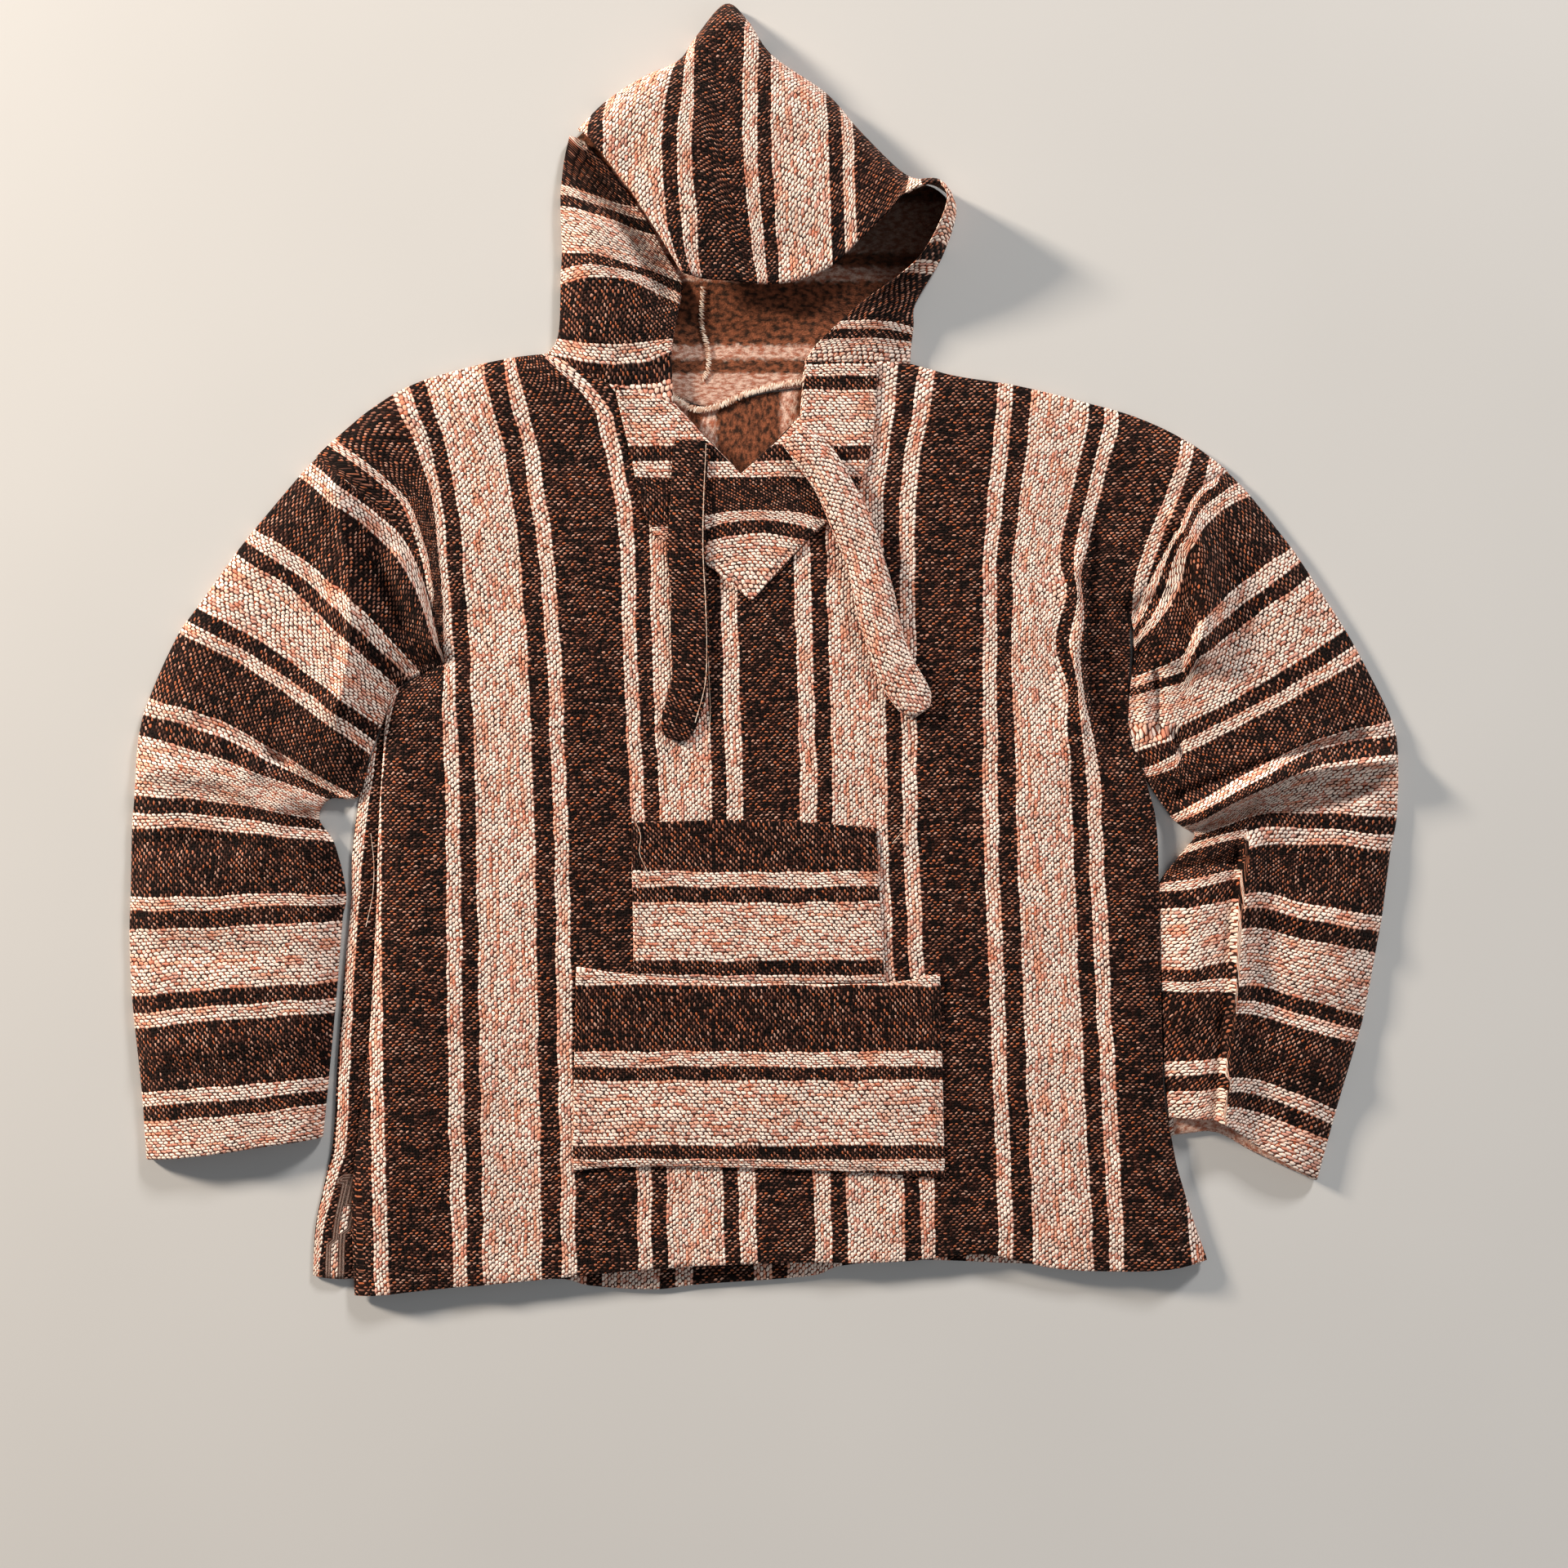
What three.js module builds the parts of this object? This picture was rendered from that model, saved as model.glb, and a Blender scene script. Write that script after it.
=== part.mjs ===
// Hooded woven pullover, lying flat on its back with the front panel up.
// Millimetres. +X is to the right as seen from above, +Y runs to the hood, +Z is up.
// The underside rests at Z = 0 and the origin is under the middle of the outline.
import * as THREE from 'three';
import { mergeVertices } from 'three/addons/utils/BufferGeometryUtils.js';

// Cloth sizes
const WALL = 2.5; // body, sleeve and hood cloth
const PATCH_WALL = 2.0; // cloth of the neck patch and the two pocket panels
const LAYER_GAP = 0.4; // free space between a panel and what lies on it
const SEAM_GAP = 0.35; // free space between two pieces at a seam
const EDGE_TOP = 5.7; // height of the folded outline: two walls and the gap
const UNDER_TOP = WALL + LAYER_GAP; // lowest place for anything on the under layer
const STEEP_LIMIT = 2.2; // most that a slope may thicken a wall as measured upright

// How high the upper layer stands over the folded outline, and how wide its rounding is
const BODY_RISE = 4.6;
const BODY_ROUND = 26;
const SLEEVE_RISE = 8.5;
const SLEEVE_ROUND = 34;
const BODY_HALF = 262; // the rise starts to change here, to each side of the middle
const SLEEVE_FROM = 335; // and has reached the sleeve's rise here

// Sleeve wall
const TUBE_SIDE_Z = 2.85; // height of the outermost place of a folded edge
const TUBE_TUCK = 2.4; // plan distance from the folded edge to the flat of the wall
const TUBE_INNER = 4.6; // plan distance from the folded edge to the hollow

// Tables. Each has its columns' names first, then a row for each section, level or fold.
function table(columns, ...rows) {
  return rows.map((row) => Object.fromEntries(columns.map((name, i) => [name, row[i]])));
}

// Armholes, from the shoulder tip to the underarm
const ARMHOLE = table(
  ['leftX', 'leftY', 'rightX', 'rightY'],
  [-366, 157, 379, 145],
  [-324, 123, 352, 128],
  [-284, 78, 331, 90],
  [-260, -11, 299, 26],
);

// Side edges of the front panel, from the hem to the underarm
const FRONT_SIDES = table(
  ['leftX', 'leftY', 'rightX', 'rightY'],
  [-334, -527, 361, -498],
  [-336, -472, 351, -470],
  [-335, -431, 336, -421],
  [-328, -371, 325, -371],
  [-321, -304, 322, -304],
  [-318, -250, 321, -250],
  [-316, -204, 320, -204],
  [-314, -137, 317, -137],
  [-311, -92, 306, -103],
  [-309, -62, 294, -70],
  [-304, -38, 292, -36],
  [-290, -27, 295, -3],
  [-260, -11, 299, 26],
);

// Hem of the front panel, from left to right
const FRONT_HEM = table(
  ['share', 'x', 'y'],
  [0, -334, -527],
  [0.12, -252, -519],
  [0.24, -165, -511],
  [0.34, -91, -504],
  [0.5, 12, -499],
  [0.64, 110, -498],
  [0.74, 177, -492],
  [0.83, 240, -504],
  [0.93, 312, -505],
  [1, 361, -498],
);

// Top of the front panel: shoulder, neckline, front slit, neckline and shoulder
const FRONT_TOP = table(
  ['share', 'x', 'y'],
  [0, -366, 157],
  [0.03, -346, 175],
  [0.07, -319, 197],
  [0.12, -286, 216],
  [0.18, -240, 230],
  [0.23, -203, 238],
  [0.26, -176, 241],
  [0.33, -128, 216],
  [0.395, -74, 200],
  [0.43, -47, 171],
  [0.466, -19, 142],
  [0.51, 12, 171],
  [0.53, 30, 190],
  [0.54, 33, 233],
  [0.65, 118, 233],
  [0.7, 155, 223],
  [0.76, 205, 215],
  [0.83, 262, 201],
  [0.89, 306, 188],
  [0.95, 347, 168],
  [1, 379, 145],
);

// Folded left edge of the back panel, from the underarm to the hem
const BACK_LEFT = table(
  ['x', 'y'],
  [-260, -11],
  [-290, -27],
  [-304, -38],
  [-311, -52],
  [-314, -67],
  [-321, -86],
  [-329, -112],
  [-334, -140],
  [-337, -170],
  [-338, -204],
  [-344, -271],
  [-349, -338],
  [-353, -405],
  [-360, -438],
  [-367, -472],
  [-369, -512],
);

// Hem of the back panel, from left to right
const BACK_HEM = table(
  ['x', 'y'],
  [-349, -514],
  [-165, -514],
  [-145, -519],
  [-91, -522],
  [-58, -518],
  [9, -513],
  [43, -509],
  [56, -503],
  [110, -497],
  [240, -500],
  [356, -495],
);

// Seam between the back panel and the hood, from left to right
const BACK_NECK = table(
  ['x', 'y'],
  [-176, 239],
  [-128, 219],
  [-78, 208],
  [-58, 200],
  [-41, 197],
  [-21, 204],
  [3, 210],
  [76, 218],
  [118, 231],
);

// Left sleeve. 'down' is the cloth distance from the armhole, then come the outer fold, two places
// across the upper layer and the inner fold.
const SLEEVE_COLUMNS = ['down', 'ax', 'ay', 'bx', 'by', 'cx', 'cy', 'dx', 'dy'];
const SLEEVE_LEFT = table(
  SLEEVE_COLUMNS,
  [0, -366, 157, -324, 123, -284, 78, -260, -11],
  [19, -380, 142, -334, 105, -291, 60, -264, -10],
  [69, -417, 98, -369, 68, -327, 28, -286, -17],
  [94, -432, 79, -379, 46, -338, 4, -305, -27],
  [140, -464, 34, -409, 5, -359, -30, -316, -62],
  [165, -479, 13, -419, -17, -369, -52, -326, -84],
  [215, -503, -40, -443, -58, -386, -90, -337, -119],
  [240, -511, -68, -453, -84, -399, -104, -355, -122],
  [286, -515, -120, -460, -123, -410, -130, -364, -139],
  [311, -517, -147, -460, -147, -405, -152, -352, -158],
  [361, -518, -202, -460, -201, -399, -199, -342, -200],
  [386, -519, -227, -460, -225, -399, -222, -345, -220],
  [432, -517, -283, -460, -277, -403, -273, -349, -271],
  [507, -509, -361, -457, -356, -406, -352, -356, -348],
  [562, -505, -416, -456, -411, -409, -404, -361, -398],
);

// Right sleeve, with the same columns
const SLEEVE_RIGHT = table(
  SLEEVE_COLUMNS,
  [0, 379, 145, 352, 128, 331, 90, 299, 26],
  [25, 397, 126, 362, 106, 337, 70, 303, 12],
  [75, 431, 83, 388, 53, 350, 20, 304, -12],
  [100, 446, 61, 396, 26, 352, -6, 301, -31],
  [146, 475, 16, 416, -22, 350, -58, 301, -73],
  [171, 489, -9, 428, -42, 356, -79, 313, -100],
  [221, 513, -58, 445, -75, 381, -107, 332, -136],
  [246, 518, -84, 448, -94, 389, -119, 342, -145],
  [292, 517, -138, 452, -134, 398, -136, 352, -153],
  [317, 512, -165, 450, -158, 392, -156, 339, -169],
  [367, 505, -218, 444, -205, 385, -186, 325, -192],
  [392, 500, -246, 440, -232, 383, -212, 325, -212],
  [438, 490, -299, 432, -280, 380, -262, 326, -263],
  [463, 484, -321, 428, -305, 378, -286, 327, -281],
  [513, 468, -375, 416, -352, 375, -338, 329, -338],
  [570, 452, -434, 402, -411, 368, -394, 334, -398],
);

// Hood, crown and right side in one horseshoe: the edge of the face opening, a place part of the way
// out, the outline, and the heights of the first two.
const HOOD_COLUMNS = ['inX', 'inY', 'midX', 'midY', 'outX', 'outY', 'inZ', 'midZ'];
const HOOD_CROWN = table(
  HOOD_COLUMNS,
  [-66, 302, -106, 366, -152, 424, 17, 19],
  [-51, 299, -88, 382, -130, 446, 18, 26],
  [-40, 298, -72, 392, -100, 466, 19, 30],
  [-29, 297, -56, 400, -70, 480, 20, 31],
  [-17, 295, -44, 404, -56, 499, 21, 31],
  [-5, 294, -32, 406, -32, 526, 21, 31],
  [9, 294, -6, 404, -14, 512, 21, 31],
  [30, 297, 16, 398, 6, 484, 22, 30],
  [55, 308, 48, 390, 50, 453, 24, 29],
  [76, 327, 78, 381, 76, 424, 27, 30],
  [98, 347, 106, 372, 108, 392, 31, 33],
  [113, 361, 120, 373, 124, 383, 35, 36],
  [135, 368, 138, 374, 141, 379, 40, 38],
  [145, 360, 149, 363, 154, 367, 42, 37],
  [144, 346, 148, 349, 155, 351, 39, 32],
  [131, 320, 137, 321, 145, 322, 32, 27],
  [115, 303, 124, 304, 136, 306, 27, 24],
  [80, 279, 100, 280, 122, 281, 20, 20],
  [62, 264, 88, 264, 121, 264, 16, 18],
  [43, 247, 79, 247, 119, 247, 12, 14],
  [33, 233, 76, 233, 118, 233, 10.3, 10.3],
);

// Hood, left side, with the same columns; its upper rows run beside the crown's folded border
const HOOD_LEFT = table(
  HOOD_COLUMNS,
  [-74, 200, -128, 216, -176, 241, 10.3, 10.3],
  [-75, 222, -120, 230, -169, 250, 11, 13],
  [-75, 245, -118, 256, -166, 266, 12, 16],
  [-68, 284, -114, 296, -165, 304, 14, 17],
  [-67.5, 300, -114, 312, -164, 326, 14, 17],
  [-82, 324, -120, 340, -165, 352, 14, 16],
  [-96, 350, -130, 362, -165, 374, 13, 15],
  [-124, 389, -142, 394, -162, 400, 11, 12],
  [-146, 413, -150, 415, -158, 418, 8, 8],
);

// Neck patch, a shield round the slit: its left and right edges from the neckline down to the point
const PATCH_SIDES = table(
  ['leftX', 'leftY', 'rightX', 'rightY'],
  [-121, 213, 91, 232.4],
  [-108, 158, 90, 196],
  [-99, 118, 85, 158],
  [-89, 93, 72, 120],
  [-49, 71, 42, 96],
  [-10.5, 40, -10, 40],
);
const PATCH_TOP = table(
  ['share', 'x', 'y'],
  [0, -121, 213],
  [0.22, -74, 199],
  [0.35, -47, 170],
  [0.48, -19, 141],
  [0.62, 13, 170],
  [0.7, 31, 189],
  [0.73, 34, 232.4],
  [1, 91, 232.4],
);

// Pocket panels, each a four-sided sheet on the front panel
const POCKET_UPPER = table(
  ['share', 'topX', 'topY', 'bottomX', 'bottomY'],
  [0, -107, -142, -105, -263.5],
  [0.5, -9, -140, -8, -270.5],
  [1, 90, -146, 97, -270],
);
const POCKET_LOWER = table(
  ['share', 'topX', 'topY', 'bottomX', 'bottomY'],
  [0, -152, -259, -155, -423],
  [0.15, -110, -265, -112, -420],
  [0.5, -9, -272, -10, -421],
  [0.85, 98, -272.5, 100, -426],
  [1, 142, -265, 146, -429],
);

// Neck ties, from the slit down: middle line, width, and height over the front panel
const TIE_COLUMNS = ['x', 'y', 'width', 'over'];
const TIE_LEFT = table(
  TIE_COLUMNS,
  [-59, 168, 25, 3.0],
  [-62, 118, 27, 3.0],
  [-63, 78, 28, 3.0],
  [-61, 38, 28, 2.2],
  [-60, -3, 28, 0.9],
  [-62, -36, 28, 0.7],
  [-74, -73, 24, 0.7],
);
const TIE_RIGHT = table(
  TIE_COLUMNS,
  [24, 172, 22, 3.2],
  [47, 147, 29, 3.2],
  [69, 105, 30, 3.2],
  [84, 64, 30, 3.2],
  [93, 24, 30, 2.2],
  [105, -13, 30, 1.2],
  [119, -36, 27, 1.0],
  [128, -49, 15, 1.0],
);
const TIE_LEFT_THICK = 3.6;
const TIE_RIGHT_THICK = 5.5;

// Largest folds of the upper layer: two ends, the height (a trough is below 0) and half its width
const FOLDS = table(
  ['x0', 'y0', 'x1', 'y1', 'rise', 'half'],
  [-339, 128, -333, 30, 5, 17],
  [-333, 30, -340, -40, 4, 16],
  [-462, -52, -398, -136, 5, 20],
  [-340, -120, -400, -112, -4, 14],
  [-345, -160, -412, -164, 5, 15],
  [-470, -190, -400, -235, 2.5, 22],
  [-440, -300, -430, -400, 2.5, 22],
  [348, 96, 349, 0, 4, 18],
  [446, -78, 342, -138, 7, 18],
  [418, -142, 362, -162, 4, 14],
  [389, -176, 378, -275, 5, 14],
  [378, -275, 371, -388, 5, 14],
  [452, -210, 430, -330, 3, 24],
  [256, 105, 256, -72, 2.5, 15],
  [276, 100, 274, -70, -2, 13],
  [-235, 190, -205, 60, 1.8, 26],
  [-190, 20, -175, -180, 1.2, 30],
  [-250, -120, -262, -440, 1.5, 26],
  [190, -160, 205, -440, 1.5, 26],
);

// Grid steps
const FRONT_STEPS_TO_UNDERARM = 1; // rows added between two rows of the side table
const ARMHOLE_STEPS = 3; // rows in each straight stretch of an armhole
const FRONT_TOP_FROM = 0.73; // the front's rows take up the shoulder line from the underarm on
const PATCH_TOP_FROM = 0.2;
const SLEEVE_ACROSS = 12; // places across the upper layer of a sleeve
const SLEEVE_UNDER = 3; // places across the flat under layer, without its ends
const SLEEVE_ROW = 27; // longest cloth distance between two rows
const HOOD_ACROSS = 9;
const HOOD_LEFT_ACROSS = 7;
const TIE_ACROSS = 4;

// Finishes
const FINISH = {
  body: { color: 0x6b5a4b, roughness: 0.95 },
  sleeve: { color: 0x66564a, roughness: 0.95 },
  hood: { color: 0x70604f, roughness: 0.95 },
  dark: { color: 0x3a2a22, roughness: 0.95 },
  light: { color: 0xb9aa96, roughness: 0.95 },
};

const pullover = new THREE.Group();
pullover.name = 'hooded_woven_pullover';

function mix(a, b, share) {
  return a + (b - a) * share;
}

function smooth(value) {
  const q = Math.min(Math.max(value, 0), 1);
  return q * q * (3 - 2 * q);
}

function places(rows, xName = 'x', yName = 'y') {
  return rows.map((row) => ({ x: row[xName], y: row[yName] }));
}

// Place on a table's line at a share of the way, with the rows' own shares if it has them
function along(rows, share) {
  const last = rows.length - 1;
  let k = 0;
  while (k < last - 1 && share > shareOf(rows, k + 1)) {
    k += 1;
  }
  const from = shareOf(rows, k);
  const q = (share - from) / (shareOf(rows, k + 1) - from);
  return {
    x: mix(rows[k].x, rows[k + 1].x, q),
    y: mix(rows[k].y, rows[k + 1].y, q),
  };
}

function shareOf(rows, k) {
  return rows[k].share === undefined ? k / (rows.length - 1) : rows[k].share;
}

// Smooth curve through values at uneven knots
function spline(knots, values, at) {
  const last = knots.length - 1;
  let k = 0;
  while (k < last - 1 && at > knots[k + 1]) {
    k += 1;
  }
  const slope = (i) => {
    const low = Math.max(i - 1, 0);
    const high = Math.min(i + 1, last);
    return (values[high] - values[low]) / (knots[high] - knots[low]);
  };
  const span = knots[k + 1] - knots[k];
  const q = (at - knots[k]) / span;
  const q2 = q * q;
  const q3 = q2 * q;
  return (
    (2 * q3 - 3 * q2 + 1) * values[k] +
    (q3 - 2 * q2 + q) * span * slope(k) +
    (3 * q2 - 2 * q3) * values[k + 1] +
    (q3 - q2) * span * slope(k + 1)
  );
}

// Distance from a place to a line from a to b, and the share along it
function toSegment(x, y, a, b) {
  const dx = b.x - a.x;
  const dy = b.y - a.y;
  const share = Math.min(Math.max(((x - a.x) * dx + (y - a.y) * dy) / (dx * dx + dy * dy), 0), 1);
  return { gap: Math.hypot(x - a.x - dx * share, y - a.y - dy * share), share };
}

function distanceTo(line, x, y) {
  let best = Infinity;
  for (let k = 0; k + 1 < line.length; k += 1) {
    best = Math.min(best, toSegment(x, y, line[k], line[k + 1]).gap);
  }
  return best;
}

// Folded edges of the upper layer, where it comes down to the under layer
const FOLDED_EDGES = [
  places(FRONT_SIDES, 'leftX', 'leftY'),
  places(FRONT_SIDES, 'rightX', 'rightY'),
  places(SLEEVE_LEFT, 'ax', 'ay'),
  places(SLEEVE_LEFT, 'dx', 'dy'),
  places(SLEEVE_RIGHT, 'ax', 'ay'),
  places(SLEEVE_RIGHT, 'dx', 'dy'),
  places(FRONT_TOP.filter((row) => row.share <= 0.26)),
  places(FRONT_TOP.filter((row) => row.share >= 0.65)),
];

function foldHeight(x, y) {
  let height = 0;
  for (const fold of FOLDS) {
    const near = toSegment(x, y, { x: fold.x0, y: fold.y0 }, { x: fold.x1, y: fold.y1 });
    const q = near.gap / fold.half;
    height += fold.rise * Math.exp(-q * q);
  }
  return height;
}

// Height of the outer face of the front panel and of the sleeves' upper layer
function upperTop(x, y) {
  const toSleeve = smooth((Math.abs(x) - BODY_HALF) / (SLEEVE_FROM - BODY_HALF));
  const rise = mix(BODY_RISE, SLEEVE_RISE, toSleeve);
  const round = mix(BODY_ROUND, SLEEVE_ROUND, toSleeve);
  const gap = Math.min(...FOLDED_EDGES.map((edge) => distanceTo(edge, x, y)));
  const full = 1 - Math.pow(1 - Math.min(gap / round, 1), 2.2);
  return EDGE_TOP + (rise + foldHeight(x, y)) * full;
}

// Places between two sides, with the shapes of a bottom and a top line fading out towards the middle.
// The top line's shape starts at the share 'topFrom' of the way up.
function blendGrid(left, right, bottom, top, shares, topFrom) {
  const climbed = [0];
  for (let k = 1; k < left.length; k += 1) {
    const step = Math.hypot(left[k].x - left[k - 1].x, left[k].y - left[k - 1].y);
    climbed.push(climbed[k - 1] + step);
  }
  const length = climbed[climbed.length - 1];
  return left.map((l, j) => {
    const share = climbed[j] / length;
    const nearTop = Math.max((share - topFrom) / (1 - topFrom), 0);
    const nearBottom = 1 - share;
    return shares.map((s) => {
      const place = {};
      for (const axis of ['x', 'y']) {
        const atBottom = bottom(s)[axis] - mix(bottom(0)[axis], bottom(1)[axis], s);
        const atTop = top(s)[axis] - mix(top(0)[axis], top(1)[axis], s);
        place[axis] = mix(l[axis], right[j][axis], s) + atBottom * nearBottom + atTop * nearTop;
      }
      return place;
    });
  });
}

// Upright thickness of a wall on a slope
function uprightWall(heightAt, x, y, wall) {
  const step = 2;
  const slopeX = (heightAt(x + step, y) - heightAt(x - step, y)) / (2 * step);
  const slopeY = (heightAt(x, y + step) - heightAt(x, y - step)) / (2 * step);
  return wall * Math.min(Math.sqrt(1 + slopeX * slopeX + slopeY * slopeY), STEEP_LIMIT);
}

// Closed solid from an index list, with its faces turned outward
function solid(name, points, faces, finish) {
  const geometry = new THREE.BufferGeometry();
  geometry.setAttribute('position', new THREE.Float32BufferAttribute(points.flat(), 3));
  let volume = 0;
  const a = new THREE.Vector3();
  const b = new THREE.Vector3();
  const c = new THREE.Vector3();
  for (const face of faces) {
    a.fromArray(points[face[0]]);
    b.fromArray(points[face[1]]);
    c.fromArray(points[face[2]]);
    volume += a.dot(b.cross(c));
  }
  const turned = volume > 0 ? faces : faces.map((face) => [face[0], face[2], face[1]]);
  geometry.setIndex(turned.flat());
  const merged = mergeVertices(geometry, 1e-3);
  merged.computeVertexNormals();
  const material = new THREE.MeshStandardMaterial({ ...finish, metalness: 0 });
  const mesh = new THREE.Mesh(merged, material);
  mesh.name = name;
  pullover.add(mesh);
  return mesh;
}

// Sheet from a grid of places, each with the height of its upper and lower face
function sheet(name, grid, finish) {
  const rows = grid.length;
  const columns = grid[0].length;
  const points = [];
  for (const level of ['top', 'low']) {
    for (const row of grid) {
      for (const place of row) {
        points.push([place.x, place.y, place[level]]);
      }
    }
  }
  const lower = rows * columns;
  const at = (j, i) => j * columns + i;
  const faces = [];
  const quad = (p, q, r, s) => {
    faces.push([p, q, r]);
    faces.push([p, r, s]);
  };
  for (let j = 0; j + 1 < rows; j += 1) {
    for (let i = 0; i + 1 < columns; i += 1) {
      quad(at(j, i), at(j, i + 1), at(j + 1, i + 1), at(j + 1, i));
      quad(lower + at(j, i), lower + at(j + 1, i), lower + at(j + 1, i + 1), lower + at(j, i + 1));
    }
  }
  const rim = [];
  for (let i = 0; i < columns - 1; i += 1) rim.push(at(0, i));
  for (let j = 0; j < rows - 1; j += 1) rim.push(at(j, columns - 1));
  for (let i = columns - 1; i > 0; i -= 1) rim.push(at(rows - 1, i));
  for (let j = rows - 1; j > 0; j -= 1) rim.push(at(j, 0));
  rim.forEach((here, k) => {
    const next = rim[(k + 1) % rim.length];
    quad(here, here + lower, next + lower, next);
  });
  return solid(name, points, faces, finish);
}

// Flat sheet on the ground from its outline
function plate(name, outline, finish) {
  const shape = new THREE.Shape(outline.map((place) => new THREE.Vector2(place.x, place.y)));
  const raw = new THREE.ExtrudeGeometry(shape, { depth: WALL, bevelEnabled: false });
  raw.deleteAttribute('normal');
  raw.deleteAttribute('uv');
  const merged = mergeVertices(raw, 1e-3);
  merged.computeVertexNormals();
  const material = new THREE.MeshStandardMaterial({ ...finish, metalness: 0 });
  const mesh = new THREE.Mesh(merged, material);
  mesh.name = name;
  pullover.add(mesh);
  return mesh;
}

// Body

function stretchedRows(rows, added) {
  const out = [rows[0]];
  for (let k = 1; k < rows.length; k += 1) {
    for (let i = 1; i <= added + 1; i += 1) {
      const q = i / (added + 1);
      out.push({
        x: mix(rows[k - 1].x, rows[k].x, q),
        y: mix(rows[k - 1].y, rows[k].y, q),
      });
    }
  }
  return out;
}

function bodySide(side) {
  const lower = stretchedRows(
    places(FRONT_SIDES, `${side}X`, `${side}Y`),
    FRONT_STEPS_TO_UNDERARM,
  );
  const armhole = places(ARMHOLE, `${side}X`, `${side}Y`).reverse();
  return [...lower, ...stretchedRows(armhole, ARMHOLE_STEPS - 1).slice(1)];
}

function frontPanel() {
  const shares = FRONT_TOP.map((row) => row.share);
  const extra = [0.012, 0.295, 0.36, 0.595, 0.985];
  const columns = [...shares, ...extra].sort((p, q) => p - q);
  const grid = blendGrid(
    bodySide('left'),
    bodySide('right'),
    (s) => along(FRONT_HEM, s),
    (s) => along(FRONT_TOP, s),
    columns,
    FRONT_TOP_FROM,
  );
  for (const row of grid) {
    for (const place of row) {
      place.top = upperTop(place.x, place.y);
      const low = place.top - uprightWall(upperTop, place.x, place.y, WALL);
      place.low = Math.max(low, UNDER_TOP);
    }
  }
  sheet('front', grid, FINISH.body);
}

function backPanel() {
  const inset = 1.2;
  const shoulderLeft = places(FRONT_TOP.filter((row) => row.share > 0 && row.share < 0.26));
  const shoulderRight = places(FRONT_TOP.filter((row) => row.share > 0.65 && row.share < 1));
  const lowered = (line) => line.map((place) => ({ x: place.x, y: place.y - inset }));
  const rightSide = places(FRONT_SIDES, 'rightX', 'rightY').slice(1, -1);
  const outline = [
    ...places(BACK_HEM),
    ...rightSide.map((place) => ({ x: place.x - inset, y: place.y })),
    ...places(ARMHOLE, 'rightX', 'rightY').reverse(),
    ...lowered(shoulderRight).reverse(),
    ...places(BACK_NECK).reverse(),
    ...lowered(shoulderLeft).reverse(),
    ...places(ARMHOLE, 'leftX', 'leftY'),
    ...places(BACK_LEFT).slice(1),
  ];
  plate('back', outline, FINISH.body);
}

// Sleeves

// Shift that keeps a sleeve clear of the armhole, square to the armhole's own direction
function armholeShift(rows) {
  const dx = rows[0].dx - rows[0].ax;
  const dy = rows[0].dy - rows[0].ay;
  const length = Math.hypot(dx, dy);
  const away = Math.sign(rows[0].ax);
  const outward = Math.sign(-dy * away);
  return { x: (-dy / length) * outward * SEAM_GAP, y: (dx / length) * outward * SEAM_GAP };
}

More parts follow.
